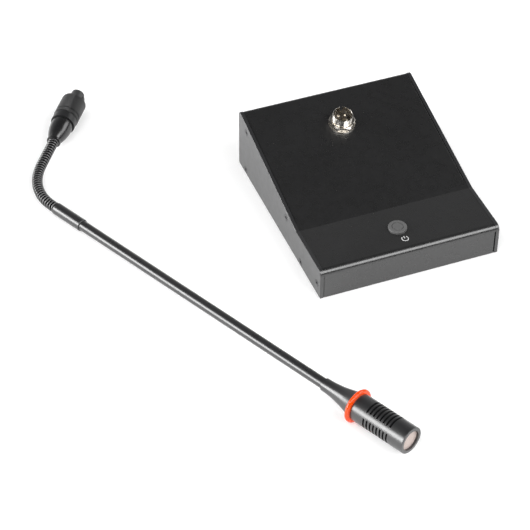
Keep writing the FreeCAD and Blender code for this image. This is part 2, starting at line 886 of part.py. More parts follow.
def plug_shell():
    """Smooth cone behind the band, with the recessed gap ring in front of it."""
    cone_end = collar_length + cone_length
    middle_radius = (cone_small_radius + cone_large_radius) / 2 + cone_belly
    start = V(collar_length, cone_small_radius, 0)
    middle = V(collar_length + cone_length / 2, middle_radius, 0)
    end = V(cone_end, cone_large_radius, 0)
    outer = Part.Arc(start, middle, end).toShape()
    corners = [
        end, V(cone_end, plug_gap_radius, 0),
        V(band_start, plug_gap_radius, 0), V(band_start, neck_bore_radius, 0),
        V(collar_length, neck_bore_radius, 0), start,
    ]
    outline = Part.Wire([outer] + Part.makePolygon(corners).Edges)
    return on_plug(Part.Face(outline).revolve(V(0, 0, 0), X_AXIS, 360))


def plug_band():
    """Clamping band behind the coupling ring."""
    band_end = band_start + band_length
    band = sleeve(band_start, band_end, band_radius, core_radius + joint_clearance)
    return on_plug(round_rims(band, band_edge_radius, [band_end], band_radius))


def plug_core():
    """Metal core that the coupling ring turns on, with the key that enters the socket's keyway."""
    shoulder_start = shoulder_end - core_shoulder_length
    outline = [
        (band_start, nose_radius), (band_start, core_radius),
        (shoulder_start, core_radius), (shoulder_start, core_shoulder_radius),
        (shoulder_end, core_shoulder_radius), (shoulder_end, nose_radius),
    ]
    key_outer = barrel_bore_radius - key_clearance
    key_tip = coupling_end + key_reach
    profile = Part.makePolygon([
        V(shoulder_start, key_inner_radius, 0), V(shoulder_start, key_outer, 0), V(key_tip, key_outer, 0),
        V(key_tip, key_inner_radius, 0), V(shoulder_start, key_inner_radius, 0),
    ])
    key = Part.Face(profile).revolve(V(0, 0, 0), X_AXIS, key_angle)
    key = placed(key, V(0, 0, 0), FreeCAD.Rotation(X_AXIS, -key_angle / 2))
    rib_width = keyway_width - 2 * key_clearance
    rib_height = core_shoulder_radius - key_inner_radius
    rib = Part.makeBox(keyway_depth - axial_clearance, rib_height, rib_width)
    rib = placed(rib, V(shoulder_end, key_inner_radius, -rib_width / 2))
    to_key_side = FreeCAD.Rotation(X_AXIS, key_side_angle)
    return on_plug(fuse([turned(outline), placed(fuse([key, rib]), V(0, 0, 0), to_key_side)]))


def plug_nose():
    """Black insulator with three contact holes, which enters the stem socket."""
    body = sleeve_disc(band_start + band_length, nose_tip, nose_radius)
    body = round_rims(body, nose_edge_radius, [nose_tip], nose_radius)
    hole = sleeve_disc(coupling_start, nose_tip + 1, contact_radius + insert_clearance)
    holes = [placed(hole, place) for place in contact_places()]
    lead_hole = sleeve_disc(band_start, coupling_start, neck_bore_radius)
    return on_plug(body.cut(holes + [lead_hole]))


def contact_places():
    """Centres of the plug's contacts, which lie from the key as the socket's pins do from the keyway."""
    turns = [math.radians(key_side_angle + angle - keyway_angle) for angle in socket_pin_angles]
    return [V(0, socket_pin_circle * math.cos(a), socket_pin_circle * math.sin(a)) for a in turns]


def plug_contacts():
    """Three tubular contacts in the plug's nose."""
    body = sleeve_disc(coupling_start, nose_tip, contact_radius)
    bore = sleeve_disc(nose_tip - contact_bore_depth, nose_tip + 1, socket_pin_radius + thread_clearance)
    contact = body.cut(bore)
    return [on_plug(placed(contact, place)) for place in contact_places()]


def coupling_ring():
    """Ring that turns freely on the core and screws onto the socket's barrel."""
    thread_start = coupling_end - coupling_thread_depth
    inner = core_radius + running_clearance
    bore = barrel_radius + coupling_thread_clearance
    groove_start = coupling_start + coupling_groove_setback
    groove_end = groove_start + coupling_groove_width
    groove_radius = coupling_radius - coupling_groove_depth
    outline = [
        (coupling_start, inner), (coupling_start, coupling_radius), (groove_start, coupling_radius),
        (groove_start, groove_radius), (groove_end, groove_radius), (groove_end, coupling_radius),
        (coupling_end, coupling_radius), (coupling_end, bore),
        (thread_start, bore), (thread_start, inner),
    ]
    return on_plug(round_rims(turned(outline), coupling_front_round, [coupling_end], coupling_radius))


# Microphone head, in the stem's frame

def capsule_rear():
    """Station of the capsule's back face, where the lead ends."""
    return head_front - cap_rim_depth - screen_thickness - capsule_length


def head_cone():
    """Flared housing between the tube and the light ring, with a pocket for the light board."""
    middle_x = (cone_start + ring_station) / 2
    middle_radius = (head_cone_small_radius + head_cone_large_radius) / 2 - head_cone_hollow
    pocket_start = ring_station - led_pocket_depth
    spigot_seat = sleeve_start - spigot_length
    tube_end = cone_start + tube_insertion
    start = V(cone_start, head_cone_small_radius, 0)
    end = V(ring_station, head_cone_large_radius, 0)
    flare = Part.Arc(start, V(middle_x, middle_radius, 0), end).toShape()
    seat_radius = ring_bore_radius + joint_clearance
    corners = [
        end, V(ring_station, led_pocket_radius, 0),
        V(pocket_start, led_pocket_radius, 0), V(pocket_start, seat_radius, 0),
        V(spigot_seat, seat_radius, 0), V(spigot_seat, tube_radius - tube_wall, 0),
        V(tube_end, tube_radius - tube_wall, 0), V(tube_end, tube_radius + joint_clearance, 0),
        V(cone_start, tube_radius + joint_clearance, 0), start,
    ]
    outline = Part.Wire([flare] + Part.makePolygon(corners).Edges)
    return on_desk(Part.Face(outline).revolve(V(0, 0, 0), X_AXIS, 360))


def light_ring():
    """Translucent ring with a rounded outer edge."""
    half = ring_width / 2
    shoulder = ring_radius - half
    start = V(ring_station, shoulder, 0)
    end = V(ring_station + ring_width, shoulder, 0)
    rounded = Part.Arc(start, V(ring_station + half, ring_radius, 0), end).toShape()
    corners = [end, V(end.x, ring_bore_radius, 0), V(start.x, ring_bore_radius, 0), start]
    outline = Part.Wire([rounded] + Part.makePolygon(corners).Edges)
    return on_desk(Part.Face(outline).revolve(V(0, 0, 0), X_AXIS, 360))


def led_board():
    """Round board with the lamps for the light ring."""
    start = ring_station - led_pocket_depth
    inner = ring_bore_radius + joint_clearance
    return on_desk(sleeve(start, start + led_board_thickness, led_pocket_radius - joint_clearance, inner))


def led_lamps():
    """Small square lamps that face the light ring."""
    foot = ring_station - led_pocket_depth + led_board_thickness
    thickness, width, height = led_size
    middle = (ring_bore_radius + led_pocket_radius) / 2
    lamp = Part.makeBox(thickness, width, height, V(foot, -width / 2, middle - height / 2))
    turns = [FreeCAD.Rotation(X_AXIS, 360 * i / led_count) for i in range(led_count)]
    return [on_desk(placed(lamp, V(0, 0, 0), turn)) for turn in turns]


def slot_cutters():
    """Cutters for the rows of slots round the sleeve."""
    outer = head_radius + head_wall
    inner = head_radius - 2 * head_wall
    cutters = []
    for i in range(slot_count):
        start = sleeve_start + slot_first + i * slot_pitch - slot_width / 2
        profile = Part.makePolygon([
            V(start, inner, 0), V(start, outer, 0), V(start + slot_width, outer, 0),
            V(start + slot_width, inner, 0), V(start, inner, 0),
        ])
        slot = Part.Face(profile).revolve(V(0, 0, 0), X_AXIS, slot_angle)
        for row in range(slot_rows):
            turn = slot_row_angle + 360 * row / slot_rows - slot_angle / 2
            cutters.append(placed(slot, V(0, 0, 0), FreeCAD.Rotation(X_AXIS, turn)))
    return cutters


def head_sleeve():
    """Slotted sleeve behind the front cap, with a spigot that holds the light ring to the cone."""
    spigot_bore = ring_bore_radius - spigot_wall
    outline = [
        (sleeve_start - spigot_length, spigot_bore), (sleeve_start - spigot_length, ring_bore_radius),
        (sleeve_start, ring_bore_radius), (sleeve_start, head_radius),
        (sleeve_end, head_radius), (sleeve_end, head_radius - head_wall),
        (sleeve_start + head_floor, head_radius - head_wall),
        (sleeve_start + head_floor, spigot_bore),
    ]
    return on_desk(turned(outline).cut(slot_cutters()))


def sleeve_gauze():
    """Fine gauze tube behind the slots."""
    outer = head_radius - head_wall - joint_clearance
    start = sleeve_start + head_floor + gauze_floor_gap
    end = sleeve_end - cap_spigot_length
    return on_desk(sleeve(start, end, outer, outer - gauze_thickness))


def front_cap():
    """Cap that screws into the sleeve, with a rim round the recessed front screen."""
    rim_bore = head_radius - cap_rim_wall
    spigot_outer = head_radius - head_wall - joint_clearance
    holder_radius = rim_bore - head_wall
    screen_rear = head_front - cap_rim_depth - screen_thickness
    outline = [
        (sleeve_end - cap_spigot_length, holder_radius), (sleeve_end - cap_spigot_length, spigot_outer),
        (sleeve_end, spigot_outer), (sleeve_end, head_radius),
        (head_front, head_radius), (head_front, rim_bore),
        (screen_rear, rim_bore), (screen_rear, holder_radius),
    ]
    return on_desk(round_rims(turned(outline), 0.4 * head_wall, [head_front], head_radius))


def front_screen():
    """Disc of fine mesh, recessed in the front cap."""
    end = head_front - cap_rim_depth
    return on_desk(sleeve_disc(end - screen_thickness, end, head_radius - cap_rim_wall - joint_clearance))


def capsule():
    """Round condenser capsule behind the screen."""
    return on_desk(sleeve_disc(capsule_rear(), capsule_rear() + capsule_length, capsule_radius))


def capsule_holder():
    """Rubber holder between the capsule and the cap."""
    end = capsule_rear() + capsule_length
    outer = head_radius - cap_rim_wall - head_wall - joint_clearance
    return on_desk(sleeve(end - holder_length, end, outer, capsule_radius + joint_clearance))


def save(name, solids):
    """Writes one sub-part as a STEP file."""
    shape = Part.makeCompound(solids) if isinstance(solids, list) else solids
    shape.exportStep("parts/" + name + ".step")


def main():
    """Builds every sub-part and saves it."""
    os.makedirs("parts", exist_ok=True)
    save("top_shell", top_shell())
    save("right_cheek", right_cheek())
    save("left_cheek", mirrored(right_cheek()))
    save("right_cheek_screws", right_cheek_screws())
    save("left_cheek_screws", [mirrored(screw) for screw in right_cheek_screws()])
    save("bottom_plate", bottom_plate())
    save("rubber_feet", rubber_feet())
    save("socket_barrel", socket_barrel())
    save("socket_insert", socket_insert())
    save("socket_pins", socket_pins())
    save("socket_washer", socket_washer())
    save("socket_nut", socket_nut())
    save("button_cap", button_cap())
    save("switch_plunger", switch_plunger())
    save("switch_body", switch_body())
    save("circuit_board", circuit_board())
    save("board_standoffs", board_standoffs())
    save("board_screws", board_screws())
    save("board_capacitors", board_capacitors())
    save("board_chip", board_chip())
    save("board_headers", board_headers())
    save("socket_lead", socket_lead())
    save("output_lead", output_lead())
    save("output_shell", output_shell())
    save("output_insert", output_insert())
    save("output_pins", output_pins())
    save("output_screws", output_screws())
    for i in range(neck_spans):
        save("neck_span_%d" % (i + 1), on_desk(on_neck(neck_span(), i)))
    save("neck_ferrule", neck_ferrule())
    save("main_tube", main_tube())
    save("mic_lead", mic_lead())
    save("neck_collar", neck_collar())
    save("plug_shell", plug_shell())
    save("plug_band", plug_band())
    save("plug_core", plug_core())
    save("plug_nose", plug_nose())
    save("plug_contacts", plug_contacts())
    save("coupling_ring", coupling_ring())
    save("head_cone", head_cone())
    save("light_ring", light_ring())
    save("led_board", led_board())
    save("led_lamps", led_lamps())
    save("head_sleeve", head_sleeve())
    save("sleeve_gauze", sleeve_gauze())
    save("front_cap", front_cap())
    save("front_screen", front_screen())
    save("capsule", capsule())
    save("capsule_holder", capsule_holder())


main()
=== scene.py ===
import json
import math

import bpy
from bpy.props import FloatProperty, FloatVectorProperty, IntProperty, PointerProperty
from mathutils import Matrix, Vector

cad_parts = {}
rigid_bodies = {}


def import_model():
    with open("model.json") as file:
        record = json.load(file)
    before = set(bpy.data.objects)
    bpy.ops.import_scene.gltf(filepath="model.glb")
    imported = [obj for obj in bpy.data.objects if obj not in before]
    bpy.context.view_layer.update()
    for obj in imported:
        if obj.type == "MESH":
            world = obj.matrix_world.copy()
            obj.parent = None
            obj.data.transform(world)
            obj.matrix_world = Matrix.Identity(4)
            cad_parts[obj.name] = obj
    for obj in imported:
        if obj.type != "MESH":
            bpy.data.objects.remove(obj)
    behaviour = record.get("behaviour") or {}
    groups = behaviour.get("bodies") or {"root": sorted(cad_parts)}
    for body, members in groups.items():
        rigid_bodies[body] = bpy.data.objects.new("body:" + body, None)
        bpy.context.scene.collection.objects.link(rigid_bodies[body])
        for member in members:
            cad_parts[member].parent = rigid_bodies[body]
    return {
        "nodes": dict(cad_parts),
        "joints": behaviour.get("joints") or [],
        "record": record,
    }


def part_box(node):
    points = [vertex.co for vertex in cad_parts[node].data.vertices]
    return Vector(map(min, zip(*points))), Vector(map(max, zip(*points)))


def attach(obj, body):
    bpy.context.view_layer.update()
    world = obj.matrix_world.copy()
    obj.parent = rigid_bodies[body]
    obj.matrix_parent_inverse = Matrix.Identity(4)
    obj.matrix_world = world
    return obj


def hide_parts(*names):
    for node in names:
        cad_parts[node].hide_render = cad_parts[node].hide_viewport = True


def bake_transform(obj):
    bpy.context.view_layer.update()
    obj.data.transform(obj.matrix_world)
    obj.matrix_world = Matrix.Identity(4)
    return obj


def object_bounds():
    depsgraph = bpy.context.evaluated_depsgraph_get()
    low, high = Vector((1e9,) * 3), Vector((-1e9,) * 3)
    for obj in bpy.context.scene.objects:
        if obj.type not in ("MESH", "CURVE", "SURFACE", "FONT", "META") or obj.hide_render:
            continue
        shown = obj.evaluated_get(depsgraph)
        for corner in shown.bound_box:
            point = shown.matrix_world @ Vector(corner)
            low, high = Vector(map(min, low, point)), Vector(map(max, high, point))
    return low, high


bl_info = {
    "name": "Gooseneck Microphone Finish",
    "version": (1, 0, 0),
    "blender": (4, 5, 0),
    "location": "3D View > Sidebar > Microphone",
    "description": "Fine pieces and finishes of a podium microphone with an unplugged stem",
    "category": "Object",
}

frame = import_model()
cad_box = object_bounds()
MM = 0.001
TURN = 2 * math.pi
MERGE = 0.002 * MM  # vertices closer than this are one
SHEET = 1.5 * MM  # thickness of the bent sheet
LEAD_STEPS = 20  # faces round the inner lead


# Places read from the frame

def joint(name):
    """The record's joint of that name."""
    return next(j for j in frame["joints"] if j["name"] == name)


def middle(node):
    """Centre of a CAD node's box at rest."""
    low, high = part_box(node)
    return (low + high) / 2


def place_on(origin, axis, side=Vector((0, 0, 1))):
    """Takes a piece that was modelled along X from the world's origin onto an axis in the object."""
    along = Vector(axis).normalized()
    across = Vector(side).cross(along).normalized()
    turn = Matrix((along, across, along.cross(across))).transposed()
    return Matrix.Translation(origin) @ turn.to_4x4()


def seen_from(node, place):
    """The vertices of a CAD node, as seen from a place in the object."""
    back = place.inverted()
    return [back @ vertex.co for vertex in frame["nodes"][node].data.vertices]


def reach(node, place):
    """Where a CAD node starts and ends along the X axis of a place."""
    stations = [point.x for point in seen_from(node, place)]
    return min(stations), max(stations)


def radius_of(node, place, largest=True):
    """The largest or smallest distance of a CAD node's vertices from the X axis of a place."""
    distances = [math.hypot(point.y, point.z) for point in seen_from(node, place)]
    return max(distances) if largest else min(distances)


SOCKET = next(m for m in frame["record"]["mounts"] if m["name"] == "stem_socket_barrel")
SOCKET_PLACE = place_on(middle("socket_washer"), SOCKET["axis"], (1, 0, 0))
PLUG_PLACE = place_on(joint("coupling_spin")["pos_m"], joint("coupling_spin")["axis"])
STEM_PLACE = place_on(middle("neck_ferrule"), middle("light_ring") - middle("neck_ferrule"))
NECK_JOINTS = [j for j in frame["joints"] if j["name"].startswith("neck_")]
NECK_BODIES = [NECK_JOINTS[0]["parent"]] + [j["child"] for j in NECK_JOINTS]


def neck_points():
    """The neck's two ends and the joints between them, from the stem to the plug."""
    joints = [Vector(j["pos_m"]) for j in NECK_JOINTS]
    span = (joints[1] - joints[0]).length
    stem_axis = STEM_PLACE.to_3x3() @ Vector((1, 0, 0))
    plug_axis = PLUG_PLACE.to_3x3() @ Vector((1, 0, 0))
    return [joints[0] + stem_axis * span] + joints + [joints[-1] + plug_axis * span]


# Sizes and colours that a user may change

class NeckSizes(bpy.types.PropertyGroup):
    ribs_per_span: IntProperty(
        name="Ribs per span", description="Turns of wire between two joints", default=4)
    lead_radius: FloatProperty(
        name="Lead radius", description="Radius of the lead inside the neck", default=1.4 * MM,
        unit="LENGTH", precision=5)
    crest_radius: FloatProperty(
        name="Crest radius", description="Outside radius of the wound neck", default=4.25 * MM,
        unit="LENGTH", precision=5)
    valley_radius: FloatProperty(
        name="Valley radius", description="Radius between the turns", default=3.1 * MM,
        unit="LENGTH", precision=5)
    steps: IntProperty(name="Steps", description="Faces round one turn", default=48)


class CouplingSizes(bpy.types.PropertyGroup):
    knurl_teeth: IntProperty(name="Knurl teeth", description="Knurl teeth round the ring", default=60)
    knurl_depth: FloatProperty(
        name="Knurl depth", description="Depth of the knurl", default=0.35 * MM, unit="LENGTH", precision=5)
    thread_length: FloatProperty(
        name="Thread length", description="Length of the ring's inner thread", default=10.5 * MM,
        unit="LENGTH", precision=5)
    steps: IntProperty(name="Steps", description="Faces round the ring", default=144)


class SocketSizes(bpy.types.PropertyGroup):
    thread_pitch: FloatProperty(
        name="Thread pitch", description="Distance between two thread crests", default=1.0 * MM,
        unit="LENGTH", precision=5)
    thread_depth: FloatProperty(
        name="Thread depth", description="Depth of the thread", default=0.45 * MM,
        unit="LENGTH", precision=5)
    keyway_length: FloatProperty(
        name="Keyway length", description="Length of the notch below the rim", default=4.0 * MM,
        unit="LENGTH", precision=5)
    keyway_width: FloatProperty(
        name="Keyway width", description="Width of the notch", default=2.4 * MM, unit="LENGTH", precision=5)
    steps: IntProperty(name="Steps", description="Faces round the barrel", default=96)


class SignSizes(bpy.types.PropertyGroup):
    width: FloatProperty(
        name="Width", description="Width of the power sign", default=5.5 * MM, unit="LENGTH", precision=5)
    stroke: FloatProperty(
        name="Stroke", description="Width of its lines", default=0.62 * MM, unit="LENGTH", precision=5)
    gap: FloatProperty(
        name="Gap", description="Opening at the ring's top", default=math.radians(78), subtype="ANGLE")
    thickness: FloatProperty(
        name="Thickness", description="Thickness of the print", default=0.04 * MM,
        unit="LENGTH", precision=5)
    setback: FloatProperty(
        name="Setback", description="From the button's middle to the sign's", default=12.7 * MM,
        unit="LENGTH", precision=5)
    offset: FloatProperty(
        name="Offset", description="From the middle line to the sign's", default=0.6 * MM,
        unit="LENGTH", precision=5)


class FinishColours(bpy.types.PropertyGroup):
    case: FloatVectorProperty(
        name="Case", description="Paint of the bent sheet", subtype="COLOR",
        default=(0.0105, 0.0105, 0.0108))
    cheek: FloatVectorProperty(
        name="Cheeks", description="Paint of the end plates", subtype="COLOR",
        default=(0.018, 0.018, 0.019))
    button: FloatVectorProperty(
        name="Button", description="Moulded cap", subtype="COLOR",
        default=(0.100, 0.100, 0.100))
    stem: FloatVectorProperty(
        name="Stem", description="Paint of the tube and head", subtype="COLOR",
        default=(0.017, 0.017, 0.018))
    # Also the colour of the ring's painted glow (emission).
    ring: FloatVectorProperty(
        name="Light ring", description="Translucent moulding", subtype="COLOR",
        default=(0.95, 0.085, 0.002))
    nickel: FloatVectorProperty(
        name="Nickel", description="Plating of the socket", subtype="COLOR",
        default=(0.78, 0.74, 0.68))
    screen: FloatVectorProperty(
        name="Screen", description="Gauze in the front cap", subtype="COLOR",
        default=(0.60, 0.50, 0.46))
    sign: FloatVectorProperty(
        name="Sign", description="Printed power sign", subtype="COLOR",
        default=(0.62, 0.62, 0.62))


class StageSizes(bpy.types.PropertyGroup):
    floor_size: FloatProperty(
        name="Floor size", description="Width of the white floor", default=12.0, unit="LENGTH")
    key_power: FloatProperty(
        name="Key light", description="Lamp on the camera's side, in watts", default=70.0)
    side_power: FloatProperty(
        name="Side light", description="Lamp on the left, in watts", default=146.0)
    fill_power: FloatProperty(
        name="Fill lights", description="Each of the two smaller lamps, in watts", default=28.0)


# Modelling steps

def deselect():
    """Leaves nothing selected, so that an operator acts on the new piece alone."""
    bpy.ops.object.select_all(action="DESELECT")


def edit(piece):
    """Opens one piece in edit mode, all selected."""
    deselect()
    bpy.context.view_layer.objects.active = piece
    piece.select_set(True)
    bpy.ops.object.mode_set(mode="EDIT")
    bpy.ops.mesh.select_mode(type="VERT")
    bpy.ops.mesh.select_all(action="SELECT")


def stop_editing():
    bpy.ops.object.mode_set(mode="OBJECT")


def draw_outline(name, points):
    """Draws a chain of edges through (x, y) points in the XY plane, one extruded vertex after another."""
    deselect()
    bpy.ops.mesh.primitive_plane_add(size=MM)
    piece = bpy.context.active_object
    piece.name = name
    piece.data.name = name
    edit(piece)
    bpy.ops.mesh.merge(type="CENTER")
    bpy.ops.transform.translate(value=(points[0][0], points[0][1], 0))
    for here, there in zip(points, points[1:]):
        step = (there[0] - here[0], there[1] - here[1], 0)
        bpy.ops.mesh.extrude_vertices_move(TRANSFORM_OT_translate={"value": step})
    stop_editing()
    return piece


def turn_outline(name, points, steps):
    """Spins an outline of (station, radius) points about the X axis into a closed piece."""
    piece = draw_outline(name, points)
    edit(piece)
    bpy.ops.mesh.spin(steps=steps, angle=TURN, center=(0, 0, 0), axis=(1, 0, 0))
    bpy.ops.mesh.select_all(action="SELECT")
    bpy.ops.mesh.remove_doubles(threshold=MERGE)
    bpy.ops.mesh.normals_make_consistent(inside=False)
    stop_editing()
    return piece


def apply_modifier(piece, kind, **values):
    """Adds one modifier to a piece and applies it."""
    deselect()
    bpy.context.view_layer.objects.active = piece
    piece.select_set(True)
    modifier = piece.modifiers.new(kind.title(), kind)
    for name, value in values.items():
        setattr(modifier, name, value)
    bpy.ops.object.modifier_apply(modifier=modifier.name)


def cut_away(piece, cutter):
    """Takes a cutter's shape out of a piece, and removes the cutter."""
    apply_modifier(piece, "BOOLEAN", operation="DIFFERENCE", object=cutter, solver="EXACT")
    bpy.data.objects.remove(cutter)


def set_down(piece, place):
    """Moves a finished piece to its place and leaves its object at the origin."""
    deselect()
    bpy.context.view_layer.objects.active = piece
    piece.select_set(True)
    piece.matrix_world = place
    bpy.ops.object.transform_apply(location=True, rotation=True, scale=True)


def hand_over(piece, body, material, angle=30):
    """Smooths a piece, gives it its material and slot, and lets it ride on its body."""
    deselect()
    bpy.context.view_layer.objects.active = piece
    piece.select_set(True)
    bpy.ops.object.shade_smooth_by_angle(angle=math.radians(angle))
    piece.data.materials.clear()
    piece.data.materials.append(material)
    if body:
        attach(piece, body)


def draw_neck_path():
    """Smooth line that touches each span of the neck at its middle, as a bent neck does."""
    points = neck_points()
    curve = bpy.data.curves.new("neck_path", "CURVE")
    curve.dimensions = "3D"
    curve.resolution_u = 24
    spline = curve.splines.new("NURBS")
    spline.points.add(len(points) - 1)
    for point, place in zip(spline.points, points):
        point.co = (*place, 1)
    spline.order_u = 3
    spline.use_endpoint_u = True
    path = bpy.data.objects.new("neck_path", curve)
    bpy.context.scene.collection.objects.link(path)
    return path


def neck_stations(sizes, path):
    """The neck's length and pitch, and its pieces' ends, each about halfway between two joints."""
    length = path.data.splines[0].calc_length()
    pitch = length / (sizes.ribs_per_span * len(NECK_BODIES))
    half = (sizes.ribs_per_span + 1) // 2
    between = [(sizes.ribs_per_span * index + half) * pitch for index in range(len(NECK_JOINTS))]
    return length, pitch, [0.0] + between + [length]


def cut_piece(source, name, start, end):
    """Copy of a straight piece along X between two stations, closed at its ends."""
    piece = source.copy()
    piece.data = source.data.copy()
    piece.name = name
    piece.data.name = name
    bpy.context.scene.collection.objects.link(piece)
    for station, normal in ((start, (-1, 0, 0)), (end, (1, 0, 0))):
        edit(piece)
        bpy.ops.mesh.bisect(plane_co=(station, 0, 0), plane_no=normal, use_fill=True, clear_outer=True)
        stop_editing()
    edit(piece)
    bpy.ops.mesh.normals_make_consistent(inside=False)
    stop_editing()
    return piece


def follow_neck(piece, index):
    """Lets the first piece of the neck ride on the stem; the others stay where they lie at rest, on no
    body.
    """
    if index == 0:
        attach(piece, NECK_BODIES[0])
        return
    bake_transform(piece)


# Material steps

class Recipe:
    """A node material with the steps that its finishes share."""

    def __init__(self, name):
        self.material = bpy.data.materials.get(name) or bpy.data.materials.new(name)
        self.material.use_nodes = True
        self.tree = self.material.node_tree
        self.tree.nodes.clear()
        self.shader = self.add("ShaderNodeBsdfPrincipled")
        self.output = self.add("ShaderNodeOutputMaterial")
        self.join(self.shader, "BSDF", self.output, "Surface")

    def add(self, kind, **inputs):
        """Adds a node, with values for its sockets."""
        node = self.tree.nodes.new(kind)
        for name, value in inputs.items():
            node.inputs[name.replace("_", " ")].default_value = value
        return node

    def join(self, source, output, target, socket):
        self.tree.links.new(source.outputs[output], target.inputs[socket])

    def calculate(self, operation, *inputs):
        """Adds a math node whose inputs are numbers or (node, output) pairs."""
        node = self.add("ShaderNodeMath")
        node.operation = operation
        for socket, value in enumerate(inputs):
            if isinstance(value, tuple):
                self.join(*value, node, socket)
            else:
                node.inputs[socket].default_value = value
        return node

    def set(self, **values):
        """Sets the shader's own sockets."""
        for name, value in values.items():
            self.shader.inputs[name.replace("_", " ")].default_value = value
        return self

    def coordinates(self, location=(0, 0, 0), rotation=(0, 0, 0), scale=(1, 1, 1)):
        """Object coordinates, centred and turned for a pattern."""
        source = self.add("ShaderNodeTexCoord")
        mapping = self.add("ShaderNodeMapping")
        mapping.inputs["Location"].default_value = location
        mapping.inputs["Rotation"].default_value = rotation
        mapping.inputs["Scale"].default_value = scale
        self.join(source, "Object", mapping, "Vector")
        return mapping

    def noise(self, size, detail=3.0, roughness=0.5, where=None):
        """Noise whose blotches have about that size."""
        where = where or self.coordinates()
        node = self.add("ShaderNodeTexNoise", Scale=1 / size, Detail=detail, Roughness=roughness)
        self.join(where, "Vector", node, "Vector")
        return node

    def span(self, source, output, low, high, start=0.3, end=0.7):
        """Stretches a pattern between two values."""
        node = self.add("ShaderNodeMapRange")
        node.inputs["From Min"].default_value = start
        node.inputs["From Max"].default_value = end
        node.inputs["To Min"].default_value = low
        node.inputs["To Max"].default_value = high
        self.join(source, output, node, "Value")
        return node

    def colours(self, source, output, first, second):
        """Mixes two colours by a pattern, into the base colour."""
        node = self.add("ShaderNodeMix")
        node.data_type = "RGBA"
        node.inputs[6].default_value = (*first, 1)
        node.inputs[7].default_value = (*second, 1)
        self.tree.links.new(source.outputs[output], node.inputs[0])
        self.tree.links.new(node.outputs[2], self.shader.inputs["Base Color"])
        return node

    def bump(self, source, output, depth, before=None):
        """Raises the surface by a pattern, on top of an earlier bump."""
        node = self.add("ShaderNodeBump", Distance=depth, Strength=1.0)
        self.join(source, output, node, "Height")
        if before:
            self.join(before, "Normal", node, "Normal")
        self.join(node, "Normal", self.shader, "Normal")
        return node


def shade(colour, factor):
    """A colour made darker or lighter."""
    return tuple(min(part * factor, 1.0) for part in colour)


def painted(name, colour, roughness, ior=1.8, grain=0.35 * MM, depth=0.004 * MM, mottle=0.10):
    """Satin paint: fine orange peel, faint handling marks and a slight change of tone."""
    recipe = Recipe(name)
    recipe.set(IOR=ior)
    wide = recipe.noise(size=38 * MM, detail=2.0)
    tone = recipe.span(wide, "Fac", 0.0, 1.0)
    recipe.colours(tone, "Result", shade(colour, 1 - mottle), shade(colour, 1 + mottle))
    marks = recipe.noise(size=6 * MM, detail=5.0, roughness=0.6)
    rough = recipe.span(marks, "Fac", roughness - 0.025, roughness + 0.035)
    recipe.join(rough, "Result", recipe.shader, "Roughness")
    peel = recipe.noise(size=grain, detail=2.0)
    recipe.bump(peel, "Fac", depth)
    return recipe


def satin(name, colour):
    """Duller paint of the plug's band and ring."""
    return painted(name, colour, 0.36, ior=1.5, grain=0.3 * MM, depth=0.005 * MM)


def plated(name, colour, roughness, scratch=0.002 * MM):
    """Bright plating with hairline polishing marks and a faint haze."""
    recipe = Recipe(name)
    recipe.set(Metallic=1.0)
    haze = recipe.noise(size=3 * MM, detail=4.0, roughness=0.6)
    tone = recipe.span(haze, "Fac", 0.0, 1.0)
    recipe.colours(tone, "Result", shade(colour, 0.93), shade(colour, 1.04))
    rough = recipe.span(haze, "Fac", roughness - 0.03, roughness + 0.05)
    recipe.join(rough, "Result", recipe.shader, "Roughness")
    lines = recipe.noise(size=0.4 * MM, where=recipe.coordinates(scale=(1, 1, 9)))
    recipe.bump(lines, "Fac", scratch)
    return recipe


def moulded(name, colour, roughness, grain=0.25 * MM, depth=0.004 * MM, ior=1.5):
    """Moulded plastic with a fine spark texture and faint flow marks."""
    recipe = Recipe(name)
    recipe.set(IOR=ior)
    flow = recipe.noise(size=9 * MM, detail=2.0)
    tone = recipe.span(flow, "Fac", 0.0, 1.0)
    recipe.colours(tone, "Result", shade(colour, 0.93), shade(colour, 1.07))
    marks = recipe.noise(size=1.5 * MM, detail=4.0)
    rough = recipe.span(marks, "Fac", roughness - 0.04, roughness + 0.05)
    recipe.join(rough, "Result", recipe.shader, "Roughness")
    spark = recipe.noise(size=grain, roughness=0.6)
    recipe.bump(spark, "Fac", depth)
    return recipe


# Finishes of the record's slots

def case_black(colours):
    return painted("case_black", colours.case, 0.28, depth=0.0008 * MM)


def cheek_black(colours):
    return painted("cheek_black", colours.cheek, 0.30, depth=0.002 * MM)


def plate_black(colours):
    return painted("plate_black", shade(colours.case, 1.4), 0.42, depth=0.006 * MM)


def screw_black(colours):
    """Black oxide, mostly metallic, with a faint haze and hairline marks."""
    return plated("screw_black", (0.045, 0.045, 0.048), 0.32).set(Metallic=0.85)


def rubber_black(colours):
    return moulded("rubber_black", (0.018, 0.018, 0.018), 0.62, grain=0.4 * MM, depth=0.010 * MM)


def nickel(colours):
    return plated("nickel", colours.nickel, 0.17)


def pin_gold(colours):
    return plated("pin_gold", (0.90, 0.82, 0.68), 0.34)


def insert_black(colours):
    return moulded("insert_black", (0.050, 0.042, 0.032), 0.42)


def button_grey(colours):
    return moulded("button_grey", colours.button, 0.46, grain=0.30 * MM, depth=0.008 * MM)


def switch_black(colours):
    return moulded("switch_black", (0.02, 0.02, 0.02), 0.45)


